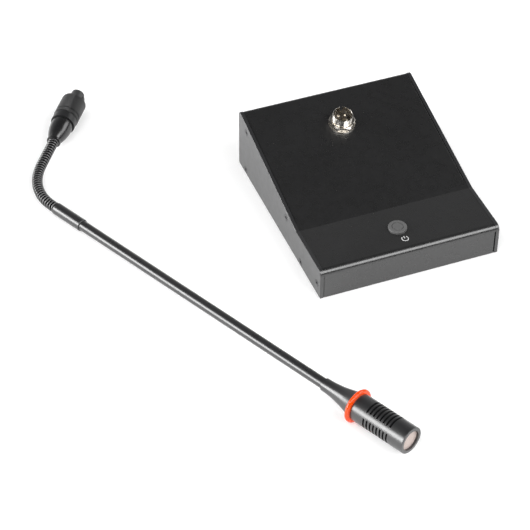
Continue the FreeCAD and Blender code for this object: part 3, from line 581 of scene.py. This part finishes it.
def board_green(colours):
    """Solder mask over copper tracks: dull green, with raised lines that turn at right angles."""
    recipe = Recipe("board_green")
    recipe.set(IOR=1.55, Roughness=0.34)
    tracks = recipe.add("ShaderNodeTexBrick", Scale=140.0)
    tracks.inputs["Mortar Size"].default_value = 0.03
    tracks.inputs["Color1"].default_value = (0, 0, 0, 1)
    tracks.inputs["Color2"].default_value = (0, 0, 0, 1)
    tracks.inputs["Mortar"].default_value = (1, 1, 1, 1)
    recipe.join(recipe.coordinates(), "Vector", tracks, "Vector")
    recipe.colours(tracks, "Fac", (0.012, 0.085, 0.030), (0.030, 0.150, 0.055))
    recipe.bump(tracks, "Fac", 0.03 * MM)
    return recipe


def steel(colours):
    return plated("steel", (0.56, 0.56, 0.55), 0.30)


def can_sleeve(colours):
    return moulded("can_sleeve", (0.014, 0.018, 0.035), 0.28, grain=0.8 * MM)


def chip_black(colours):
    return moulded("chip_black", (0.02, 0.02, 0.02), 0.55)


def header_white(colours):
    return moulded("header_white", (0.70, 0.68, 0.62), 0.42)


def lead_grey(colours):
    return moulded("lead_grey", (0.035, 0.035, 0.037), 0.55, grain=0.5 * MM, depth=0.010 * MM)


def neck_black(colours):
    """Black oxide on wound wire, uneven from handling."""
    colour = shade(colours.stem, 1.2)
    return painted("neck_black", colour, 0.25, ior=2.2, grain=0.5 * MM, depth=0.002 * MM, mottle=0.15)


def stem_black(colours):
    return painted("stem_black", shade(colours.stem, 0.75), 0.28, grain=0.4 * MM, depth=0.002 * MM)


def plug_gloss(colours):
    colour = shade(colours.stem, 0.5)
    return painted("plug_gloss", colour, 0.24, ior=1.7, grain=0.8 * MM, depth=0.0015 * MM, mottle=0.05)


def plug_satin(colours):
    return satin("plug_satin", shade(colours.stem, 0.8))


def head_black(colours):
    colour = shade(colours.stem, 0.75)
    return painted("head_black", colour, 0.30, ior=1.85, grain=0.3 * MM, depth=0.002 * MM)


def ring_orange(colours):
    """Translucent orange moulding with a painted glow: the moulding itself emits light in its own colour,
    as if lit from behind.
    """
    recipe = Recipe("ring_orange")
    # The emission is a painted glow in the ring's colour, not light from its lamps.
    recipe.set(IOR=1.49, Roughness=0.12, Transmission_Weight=0.45, Emission_Strength=0.22)
    recipe.shader.inputs["Emission Color"].default_value = (*colours.ring, 1)
    depth = recipe.noise(size=2.5 * MM, detail=2.0)
    tone = recipe.span(depth, "Fac", 0.0, 1.0)
    recipe.colours(tone, "Result", shade(colours.ring, 0.85), shade(colours.ring, 1.1))
    ripple = recipe.noise(size=1.2 * MM, detail=2.0)
    recipe.bump(ripple, "Fac", 0.004 * MM)
    return recipe


def lamp_white(colours):
    return moulded("lamp_white", (0.80, 0.72, 0.40), 0.20)


def weave(name, colour, pitch, place, depth, roughness):
    """Fine woven gauze: two sets of wires that cross, on a face square to a place's X axis. Its colour
    follows the wires' height: painted shade where they dip, painted light where they rise.
    """
    recipe = Recipe(name)
    recipe.set(Roughness=roughness)
    back = place.inverted()
    where = recipe.coordinates(back.to_translation(), back.to_euler())
    split = recipe.add("ShaderNodeSeparateXYZ")
    recipe.join(where, "Vector", split, "Vector")
    waves = []
    for axis in ("Y", "Z"):
        phase = recipe.calculate("MULTIPLY", (split, axis), TURN / pitch)
        waves.append((recipe.calculate("SINE", (phase, "Value")), "Value"))
    product = recipe.calculate("MULTIPLY", *waves)
    height = recipe.span(product, "Value", 0.0, 1.0, -1.0, 1.0)
    # Darker low, lighter high: painted shade and light that follow the weave's height.
    recipe.colours(height, "Result", shade(colour, 0.72), shade(colour, 1.12))
    recipe.bump(height, "Result", depth)
    return recipe


def gauze_black(colours):
    recipe = weave("gauze_black", (0.003, 0.003, 0.003), 0.5 * MM, STEM_PLACE, 0.03 * MM, 0.85)
    return recipe.set(Specular_IOR_Level=0.12)


def screen_beige(colours):
    return weave("screen_beige", colours.screen, 0.42 * MM, STEM_PLACE, 0.02 * MM, 0.55)


def capsule_metal(colours):
    return plated("capsule_metal", (0.55, 0.55, 0.55), 0.30)


FINISHES = (
    case_black, cheek_black, plate_black, screw_black, rubber_black, nickel, pin_gold, insert_black,
    button_grey, switch_black, board_green, steel, can_sleeve, chip_black, header_white, lead_grey,
    neck_black, stem_black, plug_gloss, plug_satin, head_black, ring_orange, lamp_white, gauze_black,
    screen_beige, capsule_metal,
)


def knurled(name, colour, teeth, depth, place, radius):
    """Satin metal with a diamond knurl round a place's X axis."""
    recipe = satin(name, colour)
    earlier = recipe.shader.inputs["Normal"].links[0].from_node
    back = place.inverted()
    where = recipe.coordinates(back.to_translation(), back.to_euler())
    split = recipe.add("ShaderNodeSeparateXYZ")
    recipe.join(where, "Vector", split, "Vector")
    angle = recipe.calculate("ARCTAN2", (split, "Y"), (split, "Z"))
    round_turn = recipe.calculate("MULTIPLY", (angle, "Value"), teeth / 2)
    along = recipe.calculate("MULTIPLY", (split, "X"), teeth / (2 * radius))
    ridges = []
    for operation in ("ADD", "SUBTRACT"):
        slant = recipe.calculate(operation, (round_turn, "Value"), (along, "Value"))
        wave = recipe.calculate("SINE", (slant, "Value"))
        ridges.append((recipe.calculate("ABSOLUTE", (wave, "Value")), "Value"))
    lower = recipe.calculate("MINIMUM", *ridges)
    recipe.bump(lower, "Value", depth, earlier)
    return recipe


# Pieces

class MIC_OT_finishes(bpy.types.Operator):
    """Gives every CAD node the finish of its slot"""

    bl_idname = "mic.finishes"
    bl_label = "Finishes"

    def execute(self, context):
        colours = context.scene.mic_colours
        materials = {finish.__name__: finish(colours).material for finish in FINISHES}
        own = {"plug_nose": moulded("nose_black", (0.030, 0.030, 0.031), 0.38, ior=1.6).material}
        for part in frame["record"]["subparts"]:
            slots = frame["nodes"][part["node"]].data.materials
            slots.clear()
            slots.append(own.get(part["node"], materials[part["material_slot"]]))
        return {"FINISHED"}


class MIC_OT_neck(bpy.types.Operator):
    """Winds the neck's wire round its real bend, as one piece for each joint and one for each end"""

    bl_idname = "mic.neck"
    bl_label = "Wound neck"
    FLANK = (0.25, 0.23, 0.17, 0.09)  # pitches from a rib's middle to its foot, flank, shoulder and crown

    def execute(self, context):
        sizes = context.scene.mic_neck
        path = draw_neck_path()
        length, pitch, cuts = neck_stations(sizes, path)
        coil = self.wind(sizes, pitch, length)
        # Near-black finish for the valleys between the turns: painted shade, darker than the wire's own
        # black oxide.
        painted_shade_finish = painted("neck_gap", (0.0015, 0.0015, 0.0015), 0.85, ior=1.2).material
        depth = (sizes.crest_radius + sizes.valley_radius) / 2
        for index in range(len(NECK_BODIES)):
            piece = cut_piece(coil, "neck_winding_%d" % (index + 1), cuts[index], cuts[index + 1])
            # Faces inside the middle radius: the valleys that take the painted shade.
            painted_shade_faces = [face.index for face in piece.data.polygons if face.center.yz.length < depth]
            apply_modifier(piece, "CURVE", object=path, deform_axis="POS_X")
            hand_over(piece, None, bpy.data.materials["neck_black"], 50)
            piece.data.materials.append(painted_shade_finish)
            for face in painted_shade_faces:
                piece.data.polygons[face].material_index = 1
            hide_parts("neck_span_%d" % (index + 1))
            follow_neck(piece, index)
        bpy.data.objects.remove(coil)
        bpy.data.objects.remove(path)
        return {"FINISHED"}

    def wind(self, sizes, pitch, length):
        """Straight wound tube along X, a little longer than the neck."""
        crest = sizes.crest_radius
        valley = sizes.valley_radius
        radii = (valley, (crest + valley) / 2, crest - 0.16 * MM, crest - 0.03 * MM)
        flank = list(zip(self.FLANK, radii))
        outline = [(-pitch, valley)]
        outline += [((-0.5 - share) * pitch, radius) for share, radius in flank]
        outline += [(-0.5 * pitch, crest)]
        outline += [((-0.5 + share) * pitch, radius) for share, radius in reversed(flank)]
        outline += [(0.0, valley)]
        coil = draw_outline("neck_coil", outline)
        turns = math.ceil(length / pitch) + 2
        apply_modifier(
            coil, "SCREW", axis="X", screw_offset=pitch, iterations=turns, angle=TURN, steps=sizes.steps,
            render_steps=sizes.steps, use_merge_vertices=True, merge_threshold=MERGE)
        edit(coil)
        bpy.ops.mesh.remove_doubles(threshold=MERGE)
        bpy.ops.mesh.normals_make_consistent(inside=False)
        stop_editing()
        return coil


class MIC_OT_lead(bpy.types.Operator):
    """Lays the inner lead through the tube, the neck and the plug, along the neck's bend at rest"""

    bl_idname = "mic.lead"
    bl_label = "Inner lead"

    def execute(self, context):
        sizes = context.scene.mic_neck
        radius = sizes.lead_radius
        path = draw_neck_path()
        length, pitch, cuts = neck_stations(sizes, path)
        stations = [pitch * step / 2 for step in range(-2, 2 * math.ceil(length / pitch) + 3)]
        straight = turn_outline("mic_lead", [(station, radius) for station in stations], LEAD_STEPS)
        for index in range(len(NECK_BODIES)):
            piece = cut_piece(straight, "mic_lead_%d" % (index + 1), cuts[index], cuts[index + 1])
            apply_modifier(piece, "CURVE", object=path, deform_axis="POS_X")
            self.finish(piece, None)
            follow_neck(piece, index)
        ends = neck_points()
        self.lay_end("mic_lead_tube", STEM_PLACE, ends[0], radius, "stem")
        self.lay_end("mic_lead_plug", PLUG_PLACE, ends[-1], radius, "plug")
        bpy.data.objects.remove(straight)
        bpy.data.objects.remove(path)
        return {"FINISHED"}

    def lay_end(self, name, place, start, radius, body):
        """Straight end of the lead, from the neck to where the CAD lead stops."""
        near = (place.inverted() @ start).x
        far = reach("mic_lead", place)[1]
        piece = turn_outline(name, [(near, 0), (near, radius), (far, radius), (far, 0)], LEAD_STEPS)
        set_down(piece, place)
        self.finish(piece, body)

    def finish(self, piece, body):
        hand_over(piece, body, bpy.data.materials["lead_grey"], 50)
        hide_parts("mic_lead")


class MIC_OT_coupling(bpy.types.Operator):
    """Turns the coupling ring, with its rounded shoulders, rear groove, thread and knurl"""

    bl_idname = "mic.coupling"
    bl_label = "Coupling ring"
    EDGE = 0.5 * MM  # rounding of the rear edge, and depth of the groove
    SOFT = 0.15 * MM  # break of a sharp edge
    LEAN = 0.1 * MM  # how far the groove's walls lean
    GROOVE_SETBACK = 3.2 * MM
    GROOVE_WIDTH = 0.9 * MM
    SHOULDER = ((1.2 * MM, 0.0), (0.7 * MM, 0.12 * MM), (0.25 * MM, 0.45 * MM), (0.0, 1.0 * MM))
    BORE_CLEARANCE = 0.06 * MM
    THREAD_DEPTH = 0.3 * MM
    LEAD_IN = 0.3 * MM

    def execute(self, context):
        sizes = context.scene.mic_coupling
        start, end = reach("coupling_ring", PLUG_PLACE)
        outer = radius_of("coupling_ring", PLUG_PLACE)
        inner = radius_of("coupling_ring", PLUG_PLACE, largest=False)
        barrel = SOCKET["dims"]["r_mm"] * MM + self.BORE_CLEARANCE
        thread_start = end - sizes.thread_length
        groove = start + self.GROOVE_SETBACK
        groove_end = groove + self.GROOVE_WIDTH
        edge = outer - self.EDGE
        soft = outer - self.SOFT
        outline = [
            (start, inner), (start, edge), (start + self.SOFT, soft), (start + self.EDGE, outer),
            (groove - self.SOFT, outer), (groove, soft), (groove + self.LEAN, edge),
            (groove_end - self.LEAN, edge), (groove_end, soft), (groove_end + self.SOFT, outer),
        ]
        outline += [(end - back, outer - down) for back, down in self.SHOULDER]
        outline += [(end, barrel + self.LEAN)]
        crest = end - self.LEAD_IN
        pitch = context.scene.mic_socket.thread_pitch
        while crest - pitch > thread_start:
            outline += [(crest, barrel), (crest - pitch / 2, barrel + self.THREAD_DEPTH)]
            crest -= pitch
        outline += [(thread_start, barrel), (thread_start, inner), (start, inner)]
        ring = turn_outline("knurled_coupling", outline, sizes.steps)
        set_down(ring, PLUG_PLACE)
        colour = shade(context.scene.mic_colours.stem, 0.5)
        knurl = knurled("plug_knurl", colour, sizes.knurl_teeth, sizes.knurl_depth, PLUG_PLACE, outer)
        hand_over(ring, "coupling", knurl.material, 24)
        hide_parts("coupling_ring")
        return {"FINISHED"}


class MIC_OT_socket(bpy.types.Operator):
    """Cuts the stem socket's barrel, with its thread, rounded rim and keyway"""

    bl_idname = "mic.socket"
    bl_label = "Socket barrel"
    TAIL_RADIUS = 7.6 * MM
    FLANGE_THICKNESS = 2 * MM
    RELIEF = 0.6 * MM  # plain neck above the nut
    CREST_FLAT = 0.08 * MM  # half the width of a thread crest
    PLAIN_RIM = 0.4 * MM
    RIM = ((0.5 * MM, 0.12 * MM), (0.15 * MM, 0.22 * MM), (0.0, 0.38 * MM))
    BORE_EDGE = 0.12 * MM
    KEYWAY_DEPTH = 2 * MM
    FLOOR_SLACK = 0.1 * MM  # how near the keyway's floor its vertices are looked for
    WALL_MIDDLE = 7 * MM

    def execute(self, context):
        sizes = context.scene.mic_socket
        foot, rim = reach("socket_barrel", SOCKET_PLACE)
        seat = reach("socket_nut", SOCKET_PLACE)[1]
        flange = reach("socket_washer", SOCKET_PLACE)[0]
        outer = SOCKET["dims"]["r_mm"] * MM
        bore = radius_of("socket_barrel", SOCKET_PLACE, largest=False)
        flange_radius = radius_of("socket_barrel", SOCKET_PLACE)
        root = outer - sizes.thread_depth
        thread_start = seat + self.RELIEF
        half_pitch = sizes.thread_pitch / 2
        flange_rear = flange - SHEET - self.FLANGE_THICKNESS
        outline = [
            (foot, bore), (foot, self.TAIL_RADIUS), (flange_rear, self.TAIL_RADIUS),
            (flange_rear, flange_radius), (flange - SHEET, flange_radius), (flange - SHEET, outer),
            (seat, outer), (seat, root), (thread_start, root),
        ]
        crest = thread_start + half_pitch
        while crest + half_pitch < rim - self.PLAIN_RIM:
            outline += [(crest - self.CREST_FLAT, outer), (crest + self.CREST_FLAT, outer)]
            outline += [(crest + half_pitch, root)]
            crest += sizes.thread_pitch
        outline += [(rim - back, outer - down) for back, down in self.RIM]
        outline += [(rim, bore + self.BORE_EDGE), (rim - self.BORE_EDGE, bore), (foot, bore)]
        barrel = turn_outline("threaded_barrel", outline, sizes.steps)
        deselect()
        notch = (2 * sizes.keyway_length, sizes.keyway_width, 2 * self.KEYWAY_DEPTH)
        bpy.ops.mesh.primitive_cube_add(size=1, scale=notch, location=(rim, 0, outer))
        cutter = bpy.context.active_object
        bpy.ops.object.transform_apply(location=True, rotation=True, scale=True)
        cutter.matrix_world = Matrix.Rotation(self.keyway_turn(sizes.keyway_length), 4, "X")
        cut_away(barrel, cutter)
        set_down(barrel, SOCKET_PLACE)
        hand_over(barrel, "base", bpy.data.materials["nickel"], 24)
        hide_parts("socket_barrel")
        return {"FINISHED"}

    def keyway_turn(self, length):
        """Turn about the barrel's axis from the modelled notch to the CAD barrel's keyway."""
        points = seen_from("socket_barrel", SOCKET_PLACE)
        floor = max(point.x for point in points) - length
        sides = Vector((0, 0))
        for point in points:
            on_floor = abs(point.x - floor) < self.FLOOR_SLACK
            if on_floor and math.hypot(point.y, point.z) > self.WALL_MIDDLE:
                sides += Vector((point.y, point.z))
        return math.atan2(-sides.x, sides.y)


class MIC_OT_power_sign(bpy.types.Operator):
    """Prints the power sign in front of the button: a ring that is open at its top, with a bar"""

    bl_idname = "mic.power_sign"
    bl_label = "Power sign"
    RING_STEPS = 40
    BAR_PLACE = 0.72  # the bar's middle and its length, in radii of the ring
    BAR_LENGTH = 1.15
    NEAR_BUTTON = 8 * MM

    def execute(self, context):
        sizes = context.scene.mic_sign
        height = self.panel_height()
        radius = sizes.width / 2 - sizes.stroke
        ring = draw_outline("power_sign", [(radius, 0), (radius + sizes.stroke, 0)])
        edit(ring)
        start = math.pi / 2 + sizes.gap / 2
        bpy.ops.transform.rotate(value=-start, orient_axis="Z", center_override=(0, 0, 0))
        bpy.ops.mesh.spin(
            steps=self.RING_STEPS, angle=sizes.gap - TURN, center=(0, 0, 0), axis=(0, 0, 1))
        stop_editing()
        deselect()
        bpy.ops.mesh.primitive_plane_add(size=1, location=(0, radius * self.BAR_PLACE, 0))
        bar = bpy.context.active_object
        bar.scale = (sizes.stroke, radius * self.BAR_LENGTH, 1)
        bpy.ops.object.transform_apply(location=True, rotation=True, scale=True)
        ring.select_set(True)
        bpy.context.view_layer.objects.active = ring
        bpy.ops.object.join()
        edit(ring)
        bpy.ops.mesh.remove_doubles(threshold=MERGE)
        bpy.ops.mesh.normals_make_consistent(inside=False)
        bpy.ops.mesh.extrude_region_move(TRANSFORM_OT_translate={"value": (0, 0, sizes.thickness)})
        bpy.ops.mesh.select_all(action="SELECT")
        bpy.ops.mesh.normals_make_consistent(inside=False)
        stop_editing()
        button = middle("button_cap")
        place = Vector((button.x + sizes.offset, button.y - sizes.setback, height))
        set_down(ring, Matrix.Translation(place))
        colour = context.scene.mic_colours.sign
        ink = moulded("sign_ink", colour, 0.5, grain=0.2 * MM, depth=0.002 * MM)
        hand_over(ring, "base", ink.material)
        return {"FINISHED"}

    def panel_height(self):
        """Height of the shallow front plane round the button."""
        button = middle("button_cap")
        points = [v.co for v in frame["nodes"]["top_shell"].data.vertices]
        return max(p.z for p in points if math.hypot(p.x - button.x, p.y - button.y) < self.NEAR_BUTTON)


class MIC_OT_stage(bpy.types.Operator):
    """Sets the white floor, the lamps, the world and the camera"""

    bl_idname = "mic.stage"
    bl_label = "Stage"
    FLOOR_WHITE = 0.82
    FLOOR_LIFT = 0.26  # glow that keeps the floor white to the camera and in reflections
    FAR_LIFT = 0.9  # glow that the camera alone sees, far from the object
    FAR_FROM, FAR_TO = 0.7, 1.8  # metres from the middle between which it sets in
    WORLD_DIM, WORLD_PALE = 0.056, 0.64  # strength round the studio, and of the backdrop behind
    PALE_TOP, PALE_FOOT = 0.86, 0.10  # heights, as parts of a unit sphere, between which it sets in
    PALE_BEHIND = 0.6  # how far behind, on the same sphere, it is full
    LAMPS = (  # name, power, direction from the object's middle, distance, width and height
        ("key_lamp", "key_power", (0.36, -0.64, 0.68), 3.0, (2.2, 1.8)),
        ("left_lamp", "side_power", (-0.95, 0.20, 0.30), 3.2, (3.0, 1.5)),
        ("right_lamp", "fill_power", (0.84, -0.14, 0.52), 2.8, (1.8, 1.4)),
        ("front_lamp", "fill_power", (-0.44, -0.36, 0.82), 2.8, (1.2, 1.2)),
    )
    EYE = (-0.50427, -1.07730, 1.02579)
    TARGET = (-0.09697, -0.03584, 0.0)
    LENS, SENSOR = 137.4, 36
    ROLL = math.radians(0.31)

    def execute(self, context):
        sizes = context.scene.mic_stage
        self.lay_floor(sizes)
        self.light_world(context.scene)
        for name, power, direction, distance, size in self.LAMPS:
            self.hang_lamp(name, direction, distance, size, getattr(sizes, power))
        self.place_camera(context.scene)
        context.scene.view_settings.view_transform = "Standard"
        return {"FINISHED"}

    def lay_floor(self, sizes):
        """White floor under the feet, which shows white and keeps the object's shadow."""
        deselect()
        bpy.ops.mesh.primitive_plane_add(size=sizes.floor_size, location=(0, 0, cad_box[0].z))
        floor = bpy.context.active_object
        floor.name = "floor"
        recipe = Recipe("floor_white")
        recipe.set(Roughness=0.9, Specular_IOR_Level=0.0)
        recipe.shader.inputs["Base Color"].default_value = (*[self.FLOOR_WHITE] * 3, 1)
        path = recipe.add("ShaderNodeLightPath")
        seen = recipe.calculate("MAXIMUM", (path, "Is Camera Ray"), (path, "Is Glossy Ray"))
        clear = recipe.calculate("MAXIMUM", (seen, "Value"), (path, "Is Transmission Ray"))
        lift = recipe.calculate("MULTIPLY", (clear, "Value"), self.FLOOR_LIFT)
        away = recipe.add("ShaderNodeVectorMath")
        away.operation = "LENGTH"
        recipe.join(recipe.coordinates(), "Vector", away, 0)
        far = recipe.span(away, "Value", 0.0, self.FAR_LIFT, self.FAR_FROM, self.FAR_TO)
        beyond = recipe.calculate("MULTIPLY", (far, "Result"), (path, "Is Camera Ray"))
        both = recipe.calculate("ADD", (lift, "Value"), (beyond, "Value"))
        recipe.shader.inputs["Emission Color"].default_value = (1, 1, 1, 1)
        recipe.join(both, "Value", recipe.shader, "Emission Strength")
        floor.data.materials.append(recipe.material)

    def light_world(self, scene):
        """Dim studio, white to the camera, with a pale backdrop low behind the object."""
        world = bpy.data.worlds.new("studio")
        scene.world = world
        world.use_nodes = True
        tree = world.node_tree
        tree.nodes.clear()
        where = tree.nodes.new("ShaderNodeTexCoord")
        split = tree.nodes.new("ShaderNodeSeparateXYZ")
        low = tree.nodes.new("ShaderNodeMapRange")
        low.inputs["From Min"].default_value = self.PALE_TOP
        low.inputs["From Max"].default_value = self.PALE_FOOT
        low.inputs["To Min"].default_value = 0.0
        behind = tree.nodes.new("ShaderNodeMapRange")
        behind.inputs["From Min"].default_value = 0.0
        behind.inputs["From Max"].default_value = self.PALE_BEHIND
        both = tree.nodes.new("ShaderNodeMath")
        both.operation = "MULTIPLY"
        glow = tree.nodes.new("ShaderNodeMapRange")
        glow.inputs["To Min"].default_value = self.WORLD_DIM
        glow.inputs["To Max"].default_value = self.WORLD_PALE
        path = tree.nodes.new("ShaderNodeLightPath")
        strength = tree.nodes.new("ShaderNodeMath")
        strength.operation = "MAXIMUM"
        background = tree.nodes.new("ShaderNodeBackground")
        background.inputs["Color"].default_value = (1, 1, 1, 1)
        output = tree.nodes.new("ShaderNodeOutputWorld")
        link = tree.links.new
        link(where.outputs["Generated"], split.inputs["Vector"])
        link(split.outputs["Z"], low.inputs["Value"])
        link(split.outputs["Y"], behind.inputs["Value"])
        link(low.outputs["Result"], both.inputs[0])
        link(behind.outputs["Result"], both.inputs[1])
        link(both.outputs["Value"], glow.inputs["Value"])
        link(glow.outputs["Result"], strength.inputs[0])
        link(path.outputs["Is Camera Ray"], strength.inputs[1])
        link(strength.outputs["Value"], background.inputs["Strength"])
        link(background.outputs["Background"], output.inputs["Surface"])

    def hang_lamp(self, name, direction, distance, size, power):
        """Soft rectangular lamp that faces the object's middle."""
        aim = (cad_box[0] + cad_box[1]) / 2
        lamp = bpy.data.lights.new(name, "AREA")
        lamp.shape = "RECTANGLE"
        lamp.size, lamp.size_y = size
        lamp.energy = power
        holder = bpy.data.objects.new(name, lamp)
        bpy.context.scene.collection.objects.link(holder)
        away = Vector(direction).normalized()
        holder.location = aim + away * distance
        holder.rotation_euler = away.to_track_quat("Z", "Y").to_euler()
        holder.visible_camera = False

    def place_camera(self, scene):
        """Camera at the photograph's place, for its square frame."""
        camera = bpy.data.cameras.new("camera")
        camera.lens = self.LENS
        camera.sensor_width = self.SENSOR
        camera.clip_start = 0.05
        holder = bpy.data.objects.new("camera", camera)
        scene.collection.objects.link(holder)
        eye = Vector(self.EYE)
        view = Vector(self.TARGET) - eye
        turn = view.to_track_quat("-Z", "Y").to_matrix() @ Matrix.Rotation(self.ROLL, 3, "Z")
        holder.matrix_world = Matrix.Translation(eye) @ turn.to_4x4()
        scene.camera = holder


class MIC_PT_pieces(bpy.types.Panel):
    """Lists the microphone's pieces in the sidebar"""

    bl_label = "Microphone"
    bl_idname = "MIC_PT_pieces"
    bl_space_type = "VIEW_3D"
    bl_region_type = "UI"
    bl_category = "Microphone"

    def draw(self, context):
        for operator in OPERATORS:
            self.layout.operator(operator.bl_idname)
        for name in GROUPS:
            group = getattr(context.scene, name)
            box = self.layout.box()
            for prop in type(group).__annotations__:
                box.prop(group, prop)


OPERATORS = (
    MIC_OT_finishes, MIC_OT_neck, MIC_OT_lead, MIC_OT_coupling, MIC_OT_socket, MIC_OT_power_sign,
    MIC_OT_stage,
)
GROUPS = {
    "mic_neck": NeckSizes,
    "mic_coupling": CouplingSizes,
    "mic_socket": SocketSizes,
    "mic_sign": SignSizes,
    "mic_colours": FinishColours,
    "mic_stage": StageSizes,
}


def register():
    for kind in (*GROUPS.values(), *OPERATORS, MIC_PT_pieces):
        bpy.utils.register_class(kind)
    for name, kind in GROUPS.items():
        setattr(bpy.types.Scene, name, PointerProperty(type=kind))


def unregister():
    for name in GROUPS:
        delattr(bpy.types.Scene, name)
    for kind in (MIC_PT_pieces, *reversed(OPERATORS), *reversed(list(GROUPS.values()))):
        bpy.utils.unregister_class(kind)


def main():
    register()
    bpy.ops.mic.finishes()
    bpy.ops.mic.neck()
    bpy.ops.mic.lead()
    bpy.ops.mic.coupling()
    bpy.ops.mic.socket()
    bpy.ops.mic.power_sign()
    bpy.ops.mic.stage()


if __name__ == "__main__":
    main()
